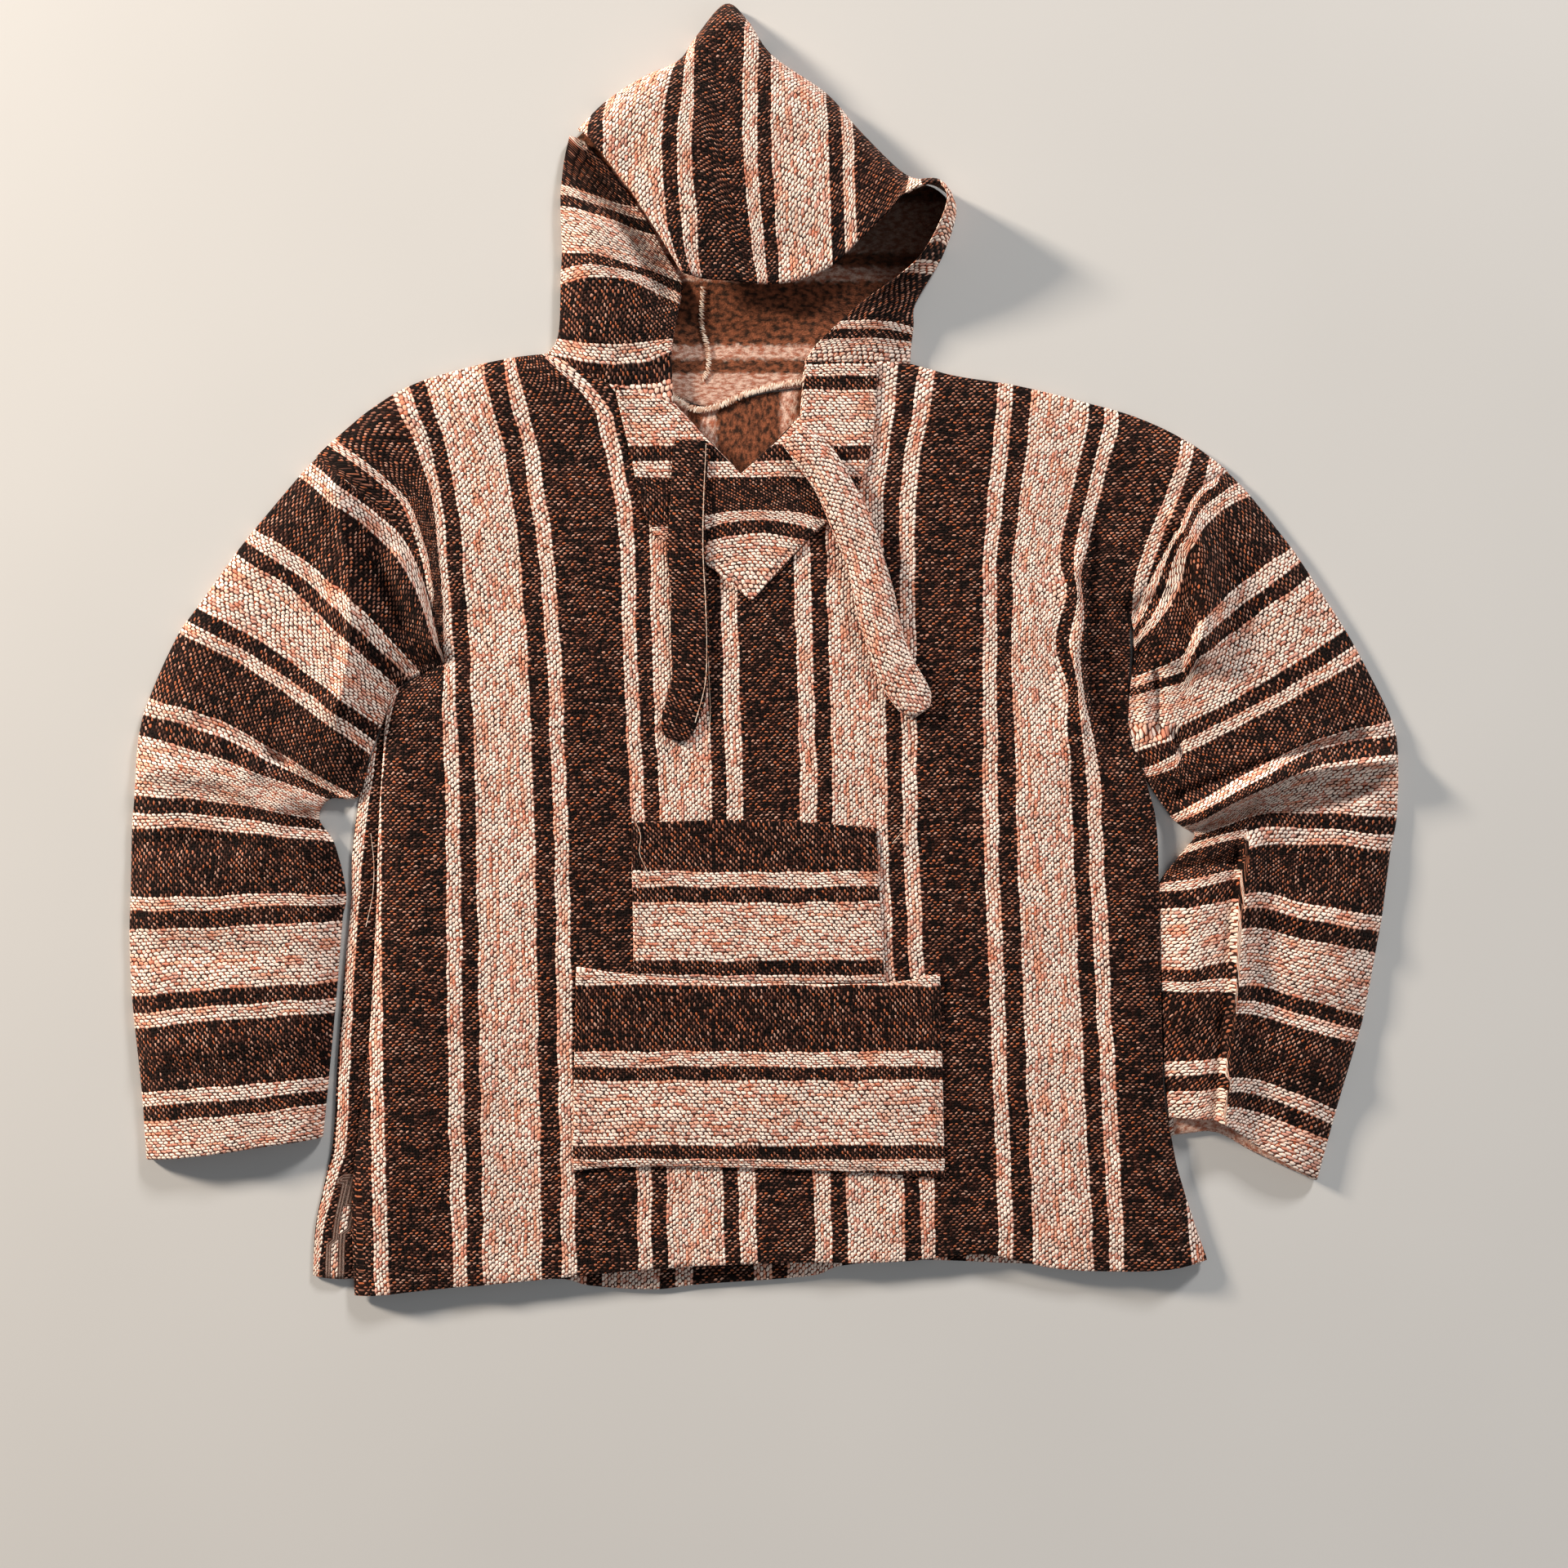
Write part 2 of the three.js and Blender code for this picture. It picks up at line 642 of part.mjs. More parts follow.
function sleeve(name, rows, finish) {
  const knots = rows.map((row) => row.down);
  const stations = [0];
  for (let k = 1; k < knots.length; k += 1) {
    const parts = Math.ceil((knots[k] - knots[k - 1]) / SLEEVE_ROW);
    for (let i = 1; i <= parts; i += 1) {
      stations.push(mix(knots[k - 1], knots[k], i / parts));
    }
  }
  const shift = armholeShift(rows);
  const lineAt = (down) => {
    const point = (xName, yName) => ({
      x: spline(knots, rows.map((row) => row[xName]), down) + shift.x,
      y: spline(knots, rows.map((row) => row[yName]), down) + shift.y,
    });
    return [point('ax', 'ay'), point('bx', 'by'), point('cx', 'cy'), point('dx', 'dy')];
  };
  const loops = stations.map((down) => {
    const line = lineAt(down);
    const width = Math.hypot(line[3].x - line[0].x, line[3].y - line[0].y);
    const at = (share, inset) => along(line, mix(inset / width, 1 - inset / width, share));
    const outer = [];
    const inner = [];
    const push = (share, outerInset, innerInset, outerZ, innerZ) => {
      const out = at(share, outerInset);
      const into = at(share, innerInset);
      outer.push([out.x, out.y, outerZ(out)]);
      inner.push([into.x, into.y, innerZ(into)]);
    };
    const top = (place) => Math.max(upperTop(place.x, place.y), EDGE_TOP);
    const under = (place) => {
      const wall = uprightWall(upperTop, place.x, place.y, WALL);
      return Math.max(top(place) - wall, UNDER_TOP + 0.3);
    };
    push(0, 0, TUBE_INNER, () => TUBE_SIDE_Z, () => TUBE_SIDE_Z);
    for (let i = 0; i <= SLEEVE_ACROSS; i += 1) {
      push(i / SLEEVE_ACROSS, TUBE_TUCK, TUBE_INNER + 2, top, under);
    }
    push(1, 0, TUBE_INNER, () => TUBE_SIDE_Z, () => TUBE_SIDE_Z);
    for (let i = SLEEVE_UNDER + 1; i >= 0; i -= 1) {
      push(i / (SLEEVE_UNDER + 1), TUBE_TUCK, TUBE_INNER + 2, () => 0, () => WALL);
    }
    return { outer, inner };
  });
  const around = loops[0].outer.length;
  const points = [];
  for (const layer of ['outer', 'inner']) {
    for (const loop of loops) {
      points.push(...loop[layer]);
    }
  }
  const inside = loops.length * around;
  const faces = [];
  const quad = (p, q, r, s) => {
    faces.push([p, q, r]);
    faces.push([p, r, s]);
  };
  const at = (j, i) => j * around + (i % around);
  for (let j = 0; j + 1 < loops.length; j += 1) {
    for (let i = 0; i < around; i += 1) {
      quad(at(j, i), at(j + 1, i), at(j + 1, i + 1), at(j, i + 1));
      quad(
        inside + at(j, i),
        inside + at(j, i + 1),
        inside + at(j + 1, i + 1),
        inside + at(j + 1, i),
      );
    }
  }
  const last = loops.length - 1;
  for (let i = 0; i < around; i += 1) {
    quad(at(0, i), at(0, i + 1), inside + at(0, i + 1), inside + at(0, i));
    quad(at(last, i), inside + at(last, i), inside + at(last, i + 1), at(last, i + 1));
  }
  solid(name, points, faces, finish);
}

// Hood

const HOOD_EDGE_TOP = 6.4; // height of the hood's outline
const HOOD_ROUND = 34; // widest rounding down to it
const HOOD_MID_SHARE = 0.5; // where the middle column of the table lies across a row

function hoodPiece(name, rows, across, shift, finish) {
  const grid = [];
  const stations = [0];
  for (let k = 1; k < rows.length; k += 1) {
    const step = Math.hypot(rows[k].outX - rows[k - 1].outX, rows[k].outY - rows[k - 1].outY);
    const parts = step > 26 ? 2 : 1;
    for (let i = 1; i <= parts; i += 1) {
      stations.push(k - 1 + i / parts);
    }
  }
  const knots = rows.map((row, k) => k);
  const value = (column, at) => spline(knots, rows.map((row) => row[column]), at);
  for (const at of stations) {
    const row = Object.fromEntries(HOOD_COLUMNS.map((column) => [column, value(column, at)]));
    const line = [
      { x: row.inX, y: row.inY },
      { x: row.midX, y: row.midY },
      { x: row.outX, y: row.outY },
    ];
    const outer = Math.hypot(row.outX - row.midX, row.outY - row.midY);
    const length = outer + Math.hypot(row.midX - row.inX, row.midY - row.inY);
    const round = Math.min(HOOD_ROUND, length);
    const heightAt = (share) => {
      const flat = mix(row.inZ, row.midZ, smooth(share / HOOD_MID_SHARE));
      const gap = Math.min(((1 - share) * length) / round, 1);
      const edge = Math.min(HOOD_EDGE_TOP, flat);
      return edge + (flat - edge) * (1 - Math.pow(1 - gap, 2.2));
    };
    const places = [];
    for (let i = 0; i <= across; i += 1) {
      const share = 1 - Math.pow(1 - i / across, 1.25);
      const place = along(line, share);
      place.x += shift.x;
      place.y += shift.y;
      place.top = heightAt(share);
      const step = 0.03;
      const near = heightAt(Math.min(share + step, 1));
      const far = heightAt(Math.max(share - step, 0));
      const slope = (near - far) / (length * (Math.min(share + step, 1) - Math.max(share - step, 0)));
      const wall = WALL * Math.min(Math.sqrt(1 + slope * slope), STEEP_LIMIT);
      place.low = Math.max(place.top - wall, UNDER_TOP);
      places.push(place);
    }
    grid.push(places);
  }
  sheet(name, grid, finish);
}

function hoodUnder() {
  const inset = 1.4;
  const crown = places(HOOD_CROWN, 'outX', 'outY');
  const left = places(HOOD_LEFT, 'outX', 'outY');
  const middle = { x: -10, y: 340 };
  const pulled = [...left, ...crown].map((place) => {
    const dx = middle.x - place.x;
    const dy = middle.y - place.y;
    const length = Math.hypot(dx, dy);
    return { x: place.x + (dx / length) * inset, y: place.y + (dy / length) * inset };
  });
  const seam = places(BACK_NECK).map((place) => ({ x: place.x, y: place.y + SEAM_GAP + 0.1 }));
  const inner = pulled.slice(1, -1);
  plate('hood_under', [...seam, ...inner.reverse()], FINISH.hood);
}

// Pieces that lie on the front panel

function onFront(name, grid, over, wall, finish) {
  for (const row of grid) {
    for (const place of row) {
      place.low = upperTop(place.x, place.y) + over;
      place.top = place.low + wall;
    }
  }
  sheet(name, grid, finish);
}

function neckPatch() {
  const added = 1;
  const left = stretchedRows(places(PATCH_SIDES, 'leftX', 'leftY'), added).reverse();
  const right = stretchedRows(places(PATCH_SIDES, 'rightX', 'rightY'), added).reverse();
  const start = left[0];
  const end = right[0];
  const columns = [...PATCH_TOP.map((row) => row.share), 0.11, 0.865].sort((p, q) => p - q);
  const grid = blendGrid(
    left,
    right,
    (s) => ({ x: mix(start.x, end.x, s), y: mix(start.y, end.y, s) }),
    (s) => along(PATCH_TOP, s),
    columns,
    PATCH_TOP_FROM,
  );
  onFront('neck_patch', grid, LAYER_GAP, PATCH_WALL, FINISH.light);
}

function pocket(name, rows, down, across, finish) {
  const top = places(rows, 'topX', 'topY').map((p, k) => ({ ...p, share: rows[k].share }));
  const bottom = places(rows, 'bottomX', 'bottomY').map((p, k) => ({
    ...p,
    share: rows[k].share,
  }));
  const grid = [];
  for (let j = 0; j <= down; j += 1) {
    const line = [];
    for (let i = 0; i <= across; i += 1) {
      const from = along(bottom, i / across);
      const to = along(top, i / across);
      line.push({ x: mix(from.x, to.x, j / down), y: mix(from.y, to.y, j / down) });
    }
    grid.push(line);
  }
  onFront(name, grid, LAYER_GAP, PATCH_WALL, finish);
}

function tie(name, rows, thick, finish) {
  const knots = rows.map((row, k) => k);
  const value = (column, at) => spline(knots, rows.map((row) => row[column]), at);
  const grid = [];
  const parts = 2;
  const last = rows.length - 1;
  for (let k = 0; k <= last * parts; k += 1) {
    const at = k / parts;
    const x = value('x', at);
    const y = value('y', at);
    const step = 0.05;
    const low = Math.max(at - step, 0);
    const high = Math.min(at + step, last);
    const dx = value('x', high) - value('x', low);
    const dy = value('y', high) - value('y', low);
    const length = Math.hypot(dx, dy);
    const half = value('width', at) / 2;
    const over = value('over', at);
    const line = [];
    for (let i = 0; i <= TIE_ACROSS; i += 1) {
      const q = (2 * i) / TIE_ACROSS - 1;
      const place = { x: x - (dy / length) * half * q, y: y + (dx / length) * half * q };
      const belly = Math.sqrt(Math.max(1 - q * q, 0.12));
      place.low = upperTop(place.x, place.y) + over + (thick / 2) * (1 - belly) * 0.5;
      place.top = upperTop(place.x, place.y) + over + thick * (0.45 + 0.55 * belly);
      line.push(place);
    }
    grid.push(line);
  }
  sheet(name, grid, finish);
}

backPanel();
frontPanel();
sleeve('sleeve_left', SLEEVE_LEFT, FINISH.sleeve);
sleeve('sleeve_right', SLEEVE_RIGHT, FINISH.sleeve);
hoodUnder();
hoodPiece('hood_crown', HOOD_CROWN, HOOD_ACROSS, { x: 0.3, y: 0.45 }, FINISH.hood);
hoodPiece('hood_side_left', HOOD_LEFT, HOOD_LEFT_ACROSS, { x: -0.6, y: 0.45 }, FINISH.hood);
neckPatch();
tie('tie_left', TIE_LEFT, TIE_LEFT_THICK, FINISH.dark);
tie('tie_right', TIE_RIGHT, TIE_RIGHT_THICK, FINISH.light);
pocket('pocket_upper', POCKET_UPPER, 6, 8, FINISH.dark);
pocket('pocket_lower', POCKET_LOWER, 7, 12, FINISH.light);

export default pullover;
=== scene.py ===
import logging
import math
from dataclasses import dataclass
from enum import Enum
from typing import Callable, Sequence

import bpy
import numpy as np
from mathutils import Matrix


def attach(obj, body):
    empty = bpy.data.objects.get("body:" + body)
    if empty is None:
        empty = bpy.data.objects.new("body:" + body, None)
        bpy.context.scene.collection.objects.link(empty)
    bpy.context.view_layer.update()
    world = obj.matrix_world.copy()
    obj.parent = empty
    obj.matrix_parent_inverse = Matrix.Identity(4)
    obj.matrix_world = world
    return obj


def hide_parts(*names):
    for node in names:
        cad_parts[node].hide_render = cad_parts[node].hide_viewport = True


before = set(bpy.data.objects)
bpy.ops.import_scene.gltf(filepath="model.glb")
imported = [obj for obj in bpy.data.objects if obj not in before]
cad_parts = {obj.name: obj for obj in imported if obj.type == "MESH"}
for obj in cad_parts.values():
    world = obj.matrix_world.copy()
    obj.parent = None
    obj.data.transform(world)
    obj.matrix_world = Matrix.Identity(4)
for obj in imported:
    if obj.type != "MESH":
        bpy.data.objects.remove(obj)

# Hooded woven pullover, lying flat on its back with the front panel up.
# Sizes are millimetres until a mesh is written, which is in metres. +X is to the right as seen from
# above, +Y runs to the hood and +Z is up.

LOG = logging.getLogger("pullover")
METRES = 0.001
BODY = "root"
CLOTH_MAP = "cloth"  # the UV map: millimetres across and along the stripes
TINY = 1e-9
RINGS = 3  # rings of points round a rounded rim

# Cloth sizes
WALL = 2.5
PATCH_WALL = 2.0
LAYER_GAP = 0.4
EDGE_TOP = 5.7
UNDER_TOP = WALL + LAYER_GAP
STEEP_LIMIT = 2.2

Array = np.ndarray
Line = Sequence[tuple[float, float]]
Height = Callable[[Array, Array], Array]
Material = bpy.types.Material
Piece = bpy.types.Object
Socket = bpy.types.NodeSocket


class Face(Enum):
    """Which face of a wall shows the woven side of the cloth."""

    UPPER = "upper"
    LOWER = "lower"


class Table:
    """Rows of numbers under named columns."""

    def __init__(self, columns: str, *rows: tuple[float, ...]) -> None:
        """Keeps the columns' names, parted by spaces, and the rows."""
        self.names = columns.split()
        self.rows = np.array(rows, dtype=float)

    def __getitem__(self, name: str) -> Array:
        """Column of a name."""
        return self.rows[:, self.names.index(name)]

    def line(self, which: str = "") -> Array:
        """Places in plan, one for each row, from the X and Y columns of that name."""
        return np.stack([self[f"{which}X"], self[f"{which}Y"]], axis=1)


# Armholes, from the shoulder tip to the underarm
ARMHOLE = Table(
    "leftX leftY rightX rightY",
    (-366, 157, 379, 145), (-324, 123, 352, 128), (-284, 78, 331, 90), (-260, -11, 299, 26),
)

# Side edges of the front panel, from the hem to the underarm
FRONT_SIDES = Table(
    "leftX leftY rightX rightY",
    (-334, -527, 361, -498), (-336, -472, 351, -470), (-335, -431, 336, -421), (-328, -371, 325, -371),
    (-321, -304, 322, -304), (-318, -250, 321, -250), (-316, -204, 320, -204), (-314, -137, 317, -137),
    (-311, -92, 306, -103), (-309, -62, 294, -70), (-304, -38, 292, -36), (-290, -27, 295, -3),
    (-260, -11, 299, 26),
)

FRONT_HEM = Table(
    "share X Y",
    (0, -334, -527), (0.12, -252, -519), (0.24, -165, -511), (0.34, -91, -504), (0.5, 12, -499),
    (0.64, 110, -498), (0.74, 177, -492), (0.83, 240, -504), (0.93, 312, -505), (1, 361, -498),
)

# Top of the front panel: shoulder, neckline, front slit, neckline and shoulder
FRONT_TOP = Table(
    "share X Y",
    (0, -366, 157), (0.03, -346, 175), (0.07, -319, 197), (0.12, -286, 216), (0.18, -240, 230),
    (0.23, -203, 238), (0.26, -176, 241), (0.33, -128, 216), (0.395, -74, 200), (0.43, -47, 171),
    (0.466, -19, 142), (0.51, 12, 171), (0.53, 30, 190), (0.54, 33, 233), (0.65, 118, 233), (0.7, 155, 223),
    (0.76, 205, 215), (0.83, 262, 201), (0.89, 306, 188), (0.95, 347, 168), (1, 379, 145),
)
FRONT_TOP_CORNERS = (0, 0.26, 0.395, 0.466, 0.53, 0.54, 0.65, 1)
LEFT_SHOULDER_END = 0.26
RIGHT_SHOULDER_START = 0.65

# Folded left edge of the back panel, from the underarm to the hem
BACK_LEFT = Table(
    "X Y",
    (-260, -11), (-290, -27), (-304, -38), (-311, -52), (-314, -67), (-321, -86), (-329, -112),
    (-334, -140), (-337, -170), (-338, -204), (-344, -271), (-349, -338), (-353, -405), (-360, -438),
    (-367, -472), (-369, -512),
)

BACK_HEM = Table(
    "share X Y",
    (0, -369, -512), (0.03, -349, -514), (0.28, -165, -514), (0.31, -145, -519), (0.38, -91, -522),
    (0.43, -58, -518), (0.52, 9, -513), (0.57, 43, -509), (0.59, 56, -503), (0.66, 110, -497),
    (0.84, 240, -500), (1, 356, -495),
)

# Seam between the back panel and the hood, from left to right
BACK_NECK = Table(
    "X Y",
    (-176, 239), (-128, 219), (-78, 208), (-58, 200), (-41, 197), (-21, 204), (3, 210), (76, 218),
    (118, 231),
)

# Sleeves. 'down' is the cloth distance from the armhole, then come the outer fold, two places across
# the upper layer and the inner fold.
SLEEVE_COLUMNS = "down aX aY bX bY cX cY dX dY"
SLEEVE_LEFT = Table(
    SLEEVE_COLUMNS,
    (0, -366, 157, -324, 123, -284, 78, -260, -11), (19, -380, 142, -334, 105, -291, 60, -264, -10),
    (69, -417, 98, -369, 68, -327, 28, -286, -17), (94, -432, 79, -379, 46, -338, 4, -305, -27),
    (140, -464, 34, -409, 5, -359, -30, -316, -62), (165, -479, 13, -419, -17, -369, -52, -326, -84),
    (215, -503, -40, -443, -58, -386, -90, -337, -119), (240, -511, -68, -453, -84, -399, -104, -355, -122),
    (286, -515, -120, -460, -123, -410, -130, -364, -139),
    (311, -517, -147, -460, -147, -405, -152, -352, -158),
    (361, -518, -202, -460, -201, -399, -199, -342, -200),
    (386, -519, -227, -460, -225, -399, -222, -345, -220),
    (432, -517, -283, -460, -277, -403, -273, -349, -271),
    (507, -509, -361, -457, -356, -406, -352, -356, -348),
    (562, -505, -416, -456, -411, -409, -404, -361, -398),
)
SLEEVE_RIGHT = Table(
    SLEEVE_COLUMNS,
    (0, 379, 145, 352, 128, 331, 90, 299, 26), (25, 397, 126, 362, 106, 337, 70, 303, 12),
    (75, 431, 83, 388, 53, 350, 20, 304, -12), (100, 446, 61, 396, 26, 352, -6, 301, -31),
    (146, 475, 16, 416, -22, 350, -58, 301, -73), (171, 489, -9, 428, -42, 356, -79, 313, -100),
    (221, 513, -58, 445, -75, 381, -107, 332, -136), (246, 518, -84, 448, -94, 389, -119, 342, -145),
    (292, 517, -138, 452, -134, 398, -136, 352, -153), (317, 512, -165, 450, -158, 392, -156, 339, -169),
    (367, 505, -218, 444, -205, 385, -186, 325, -192), (392, 500, -246, 440, -232, 383, -212, 325, -212),
    (438, 490, -299, 432, -280, 380, -262, 326, -263), (463, 484, -321, 428, -305, 378, -286, 327, -281),
    (513, 468, -375, 416, -352, 375, -338, 329, -338), (570, 452, -434, 402, -411, 368, -394, 334, -398),
)

# How far each sleeve's inner fold swells towards the body
REACH_LEFT = Table(
    "down out",
    (0, 0), (19, 2.2), (45, 4.6), (69, 6.0), (94, 7.6), (118, 5.0), (140, 2.6), (165, 4.4), (190, 5.2),
    (215, 4.6), (240, 0), (600, 0),
)
REACH_RIGHT = Table(
    "down out",
    (0, 0), (30, 3.0), (75, 4.2), (150, 3.6), (180, 3.4), (215, 0), (330, 0), (367, 2.6), (600, 2.6),
)

# Hood, crown and right side in one horseshoe: the edge of the face opening, a place part of the way
# out, the outline, the heights of the first two, and the stripe coordinate at each
HOOD_COLUMNS = "inX inY midX midY outX outY inZ midZ inU midU outU"
HOOD_CROWN = Table(
    HOOD_COLUMNS,
    (-66, 302, -106, 366, -152, 424, 17, 19, -52, -73.5, -118),
    (-51, 299, -88, 382, -130, 446, 18, 26, -25, -57, -96),
    (-40, 298, -72, 392, -100, 466, 19, 30, -12, -41, -73),
    (-29, 297, -56, 400, -70, 480, 20, 31, 0, -21.5, -50),
    (-17, 295, -44, 404, -56, 499, 21, 31, 12.5, -7, -25), (-5, 294, -32, 406, -32, 526, 21, 31, 25, 7, 0),
    (9, 294, -6, 404, -14, 512, 21, 31, 46.6, 37.5, 26), (30, 297, 16, 398, 6, 484, 22, 30, 69, 61, 51.5),
    (55, 308, 48, 390, 50, 453, 24, 29, 96, 91, 96), (76, 327, 78, 381, 76, 424, 27, 30, 122, 127, 125),
    (98, 347, 106, 372, 108, 392, 31, 33, 151, 160, 160),
    (113, 361, 120, 373, 124, 383, 35, 36, 171, 177, 178),
    (135, 368, 138, 374, 141, 379, 40, 38, 192, 196, 196),
    (145, 360, 149, 363, 154, 367, 42, 37, 205, 208, 208),
    (144, 346, 148, 349, 155, 351, 39, 32, 217, 220, 221),
    (131, 320, 137, 321, 145, 322, 32, 27, 243, 247, 248),
    (115, 303, 124, 304, 136, 306, 27, 24, 262, 264, 266),
    (80, 279, 100, 280, 122, 281, 20, 20, 300, 300, 297),
    (62, 264, 88, 264, 121, 264, 16, 18, 317, 318, 314),
    (43, 247, 79, 247, 119, 247, 12, 14, 349, 350, 350),
    (33, 233, 76, 233, 118, 233, 10.3, 10.3, 363, 363, 363),
)
HOOD_LEFT = Table(
    HOOD_COLUMNS,
    (-74, 200, -128, 216, -176, 241, 10.3, 10.3, -60, -50, -38),
    (-75, 222, -120, 230, -169, 250, 11, 13, -49, -38, -27),
    (-75, 245, -118, 256, -166, 266, 12, 16, -33, -14, -11),
    (-68, 284, -114, 296, -165, 304, 14, 17, 31, 21, 32),
    (-67.5, 300, -114, 312, -164, 326, 14, 17, 51, 50, 54),
    (-82, 324, -120, 340, -165, 352, 14, 16, 81, 86, 83),
    (-96, 350, -130, 362, -165, 374, 13, 15, 108, 114, 114),
    (-124, 389, -142, 394, -162, 400, 11, 12, 150, 156, 150),
    (-146, 413, -150, 415, -158, 418, 8, 8, 171, 181, 174),
)
HOOD_RIGHT_FROM = 6  # the crown's rows from here on are the right side of its layer underneath

# Neck patch, a shield round the slit
PATCH_SIDES = Table(
    "leftX leftY rightX rightY",
    (-121, 213, 91, 232.4), (-108, 158, 90, 196), (-99, 118, 85, 158), (-89, 93, 72, 120),
    (-49, 71, 42, 96), (-10.5, 40, -10, 40),
)
PATCH_TOP = Table(
    "share X Y",
    (0, -121, 213), (0.22, -74, 199), (0.35, -47, 170), (0.48, -19, 141), (0.62, 13, 170), (0.7, 31, 189),
    (0.73, 34, 232.4), (1, 91, 232.4),
)
PATCH_TOP_CORNERS = (0, 0.22, 0.48, 0.7, 0.73, 1)

# Pocket panels, each a four-sided sheet on the front panel
POCKET_UPPER = Table(
    "share topX topY bottomX bottomY",
    (0, -107, -142, -105, -263.5), (0.5, -9, -140, -8, -270.5), (1, 90, -146, 97, -270),
)
POCKET_LOWER = Table(
    "share topX topY bottomX bottomY",
    (0, -152, -259, -155, -423), (0.15, -110, -265, -112, -420), (0.5, -9, -272, -10, -421),
    (0.85, 98, -272.5, 100, -426), (1, 142, -265, 146, -429),
)

# Neck ties, from the slit down: middle line, width, and height over the front panel
TIE_COLUMNS = "X Y width over"
TIE_LEFT = Table(
    TIE_COLUMNS,
    (-59, 168, 25, 3.0), (-62, 118, 27, 3.0), (-63, 78, 28, 3.0), (-61, 38, 28, 2.2), (-60, -3, 28, 0.9),
    (-62, -36, 28, 0.7), (-74, -73, 24, 0.7),
)
TIE_RIGHT = Table(
    TIE_COLUMNS,
    (24, 172, 22, 3.2), (47, 147, 29, 3.2), (69, 105, 30, 3.2), (84, 64, 30, 3.2), (93, 24, 30, 2.2),
    (105, -13, 30, 1.2), (118, -36, 29, 1.0), (128, -51, 27, 1.0),
)

# Where the stripes run: the places of the borders between them at some heights y. The number in a
# column's name counts the stripe coordinates in the borders above its table.
FRONT_BORDERS = (-323.25, -260.5, -177.25, -114.75, -31.25, 31.25, 114.75, 177.25, 260.5, 323.25)
FRONT_STRIPES = Table(
    "y b0 b1 b2 b3 b4 b5 b6 b7 b8 b9",
    (-532, -310, -247, -159, -96, -11, 50, 135, 198, 288, 355),
    (-472, -312, -248, -160, -98, -13, 48, 134, 197, 286, 352),
    (-304, -317, -251, -163, -100, -19, 42, 127, 191, 277, 344),
    (-137, -319, -253, -166, -103, -24, 36, 119, 185, 269, 331),
    (-103, -318, -254, -168, -105, -24, 36, 119, 185, 268, 325),
    (-36, -304, -257, -170, -108, -27, 34, 118, 185, 257, 311),
    (4, -279, -259, -172, -110, -27, 33, 118, 185, 252, 308),
    (38, -270, -261, -175, -111, -29, 31, 117, 185, 257, 305),
    (64, -272, -263, -177, -111, -29, 31, 117, 185, 254, 308),
    (105, -284, -266, -182, -113, -30, 30, 117, 188, 263, 324),
    (128, -299, -269, -186, -117, -31, 30, 118, 190, 268, 334),
    (172, -359, -279, -193, -127, -33, 29, 124, 194, 280, 347),
    (195, -393, -288, -199, -133, -35, 28, 129, 196, 283, 352),
    (239, -426, -306, -207, -177, -44, 19, 137, 200, 285, 358),
)
BACK_BORDERS = (-329.5, -317, -300, -25, 25)
BACK_STRIPES = Table(
    "y b0 b1 b2 b3 b4",
    (-540, -372, -365, -347, -60, -8), (-475, -367, -361, -343, -58, -6), (-442, -361, -352, -336, -57, -5),
    (-408, -352, -342, -328, -56, -4), (-358, -349, -339, -323, -55, -2), (-284, -345, -336, -320, -53, 0),
    (-204, -341, -331, -313, -50, 2), (-163, -338, -327.6, -309, -49, 3),
    (-103, -330, -320.5, -303, -48, 5), (-60, -325, -316, -299, -46, 7), (171, -325, -316, -299, -40, 13),
)
PATCH_STRIPES = Table(
    "y u",
    (30, 95.5), (39.5, 95.5), (85.8, 50), (96.5, 37.5), (106.5, 25), (139.4, -25), (151.4, -37.5),
    (164.2, -50), (210.4, -96), (221.8, -108.5), (231.8, -121),
)
UPPER_STRIPES = Table(
    "y u",
    (-274, 117), (-265.3, 108.5), (-253.9, 96), (-205, 50), (-193, 37.5), (-181.6, 25), (-142, -15),
)
LOWER_STRIPES = Table(
    "y u",
    (-429, 125), (-424.8, 121), (-414.7, 108.5), (-404, 96), (-349.7, 50), (-339, 37.5), (-327.6, 25),
    (-272.7, -25), (-262.6, -37.5),
)
HOOD_INSIDE_STRIPES = Table(
    "y u",
    (190, 103), (196, 96), (225.8, 50), (237.9, 37.5), (248.6, 25), (302, -25), (366, -96), (530, -260),
)

# Largest folds of the upper layer, as in the solids: two ends, height and half the width
FOLDS = Table(
    "x0 y0 x1 y1 rise half",
    (-339, 128, -333, 30, 5, 17), (-333, 30, -340, -40, 4, 16), (-462, -52, -398, -136, 5, 20),
    (-340, -120, -400, -112, -4, 14), (-345, -160, -412, -164, 5, 15), (-470, -190, -400, -235, 2.5, 22),
    (-440, -300, -430, -400, 2.5, 22), (348, 96, 349, 0, 4, 18), (446, -78, 342, -138, 7, 18),
    (418, -142, 362, -162, 4, 14), (389, -176, 378, -275, 5, 14), (378, -275, 371, -388, 5, 14),
    (452, -210, 430, -330, 3, 24), (256, 105, 256, -72, 2.5, 15), (276, 100, 274, -70, -2, 13),
    (-235, 190, -205, 60, 1.8, 26), (-190, 20, -175, -180, 1.2, 30), (-250, -120, -262, -440, 1.5, 26),
    (190, -160, 205, -440, 1.5, 26),
)

# Slow unevenness of cloth that lies by its own weight: wavelength, direction, phase and height
RIPPLES = Table(
    "length angle phase rise",
    (173, 12, 0.4, 0.42), (121, 97, 1.9, 0.36), (88, 54, 3.1, 0.30), (67, 141, 5.2, 0.24),
    (49, 81, 0.9, 0.18), (37, 23, 2.6, 0.13), (26, 118, 4.4, 0.09),
)


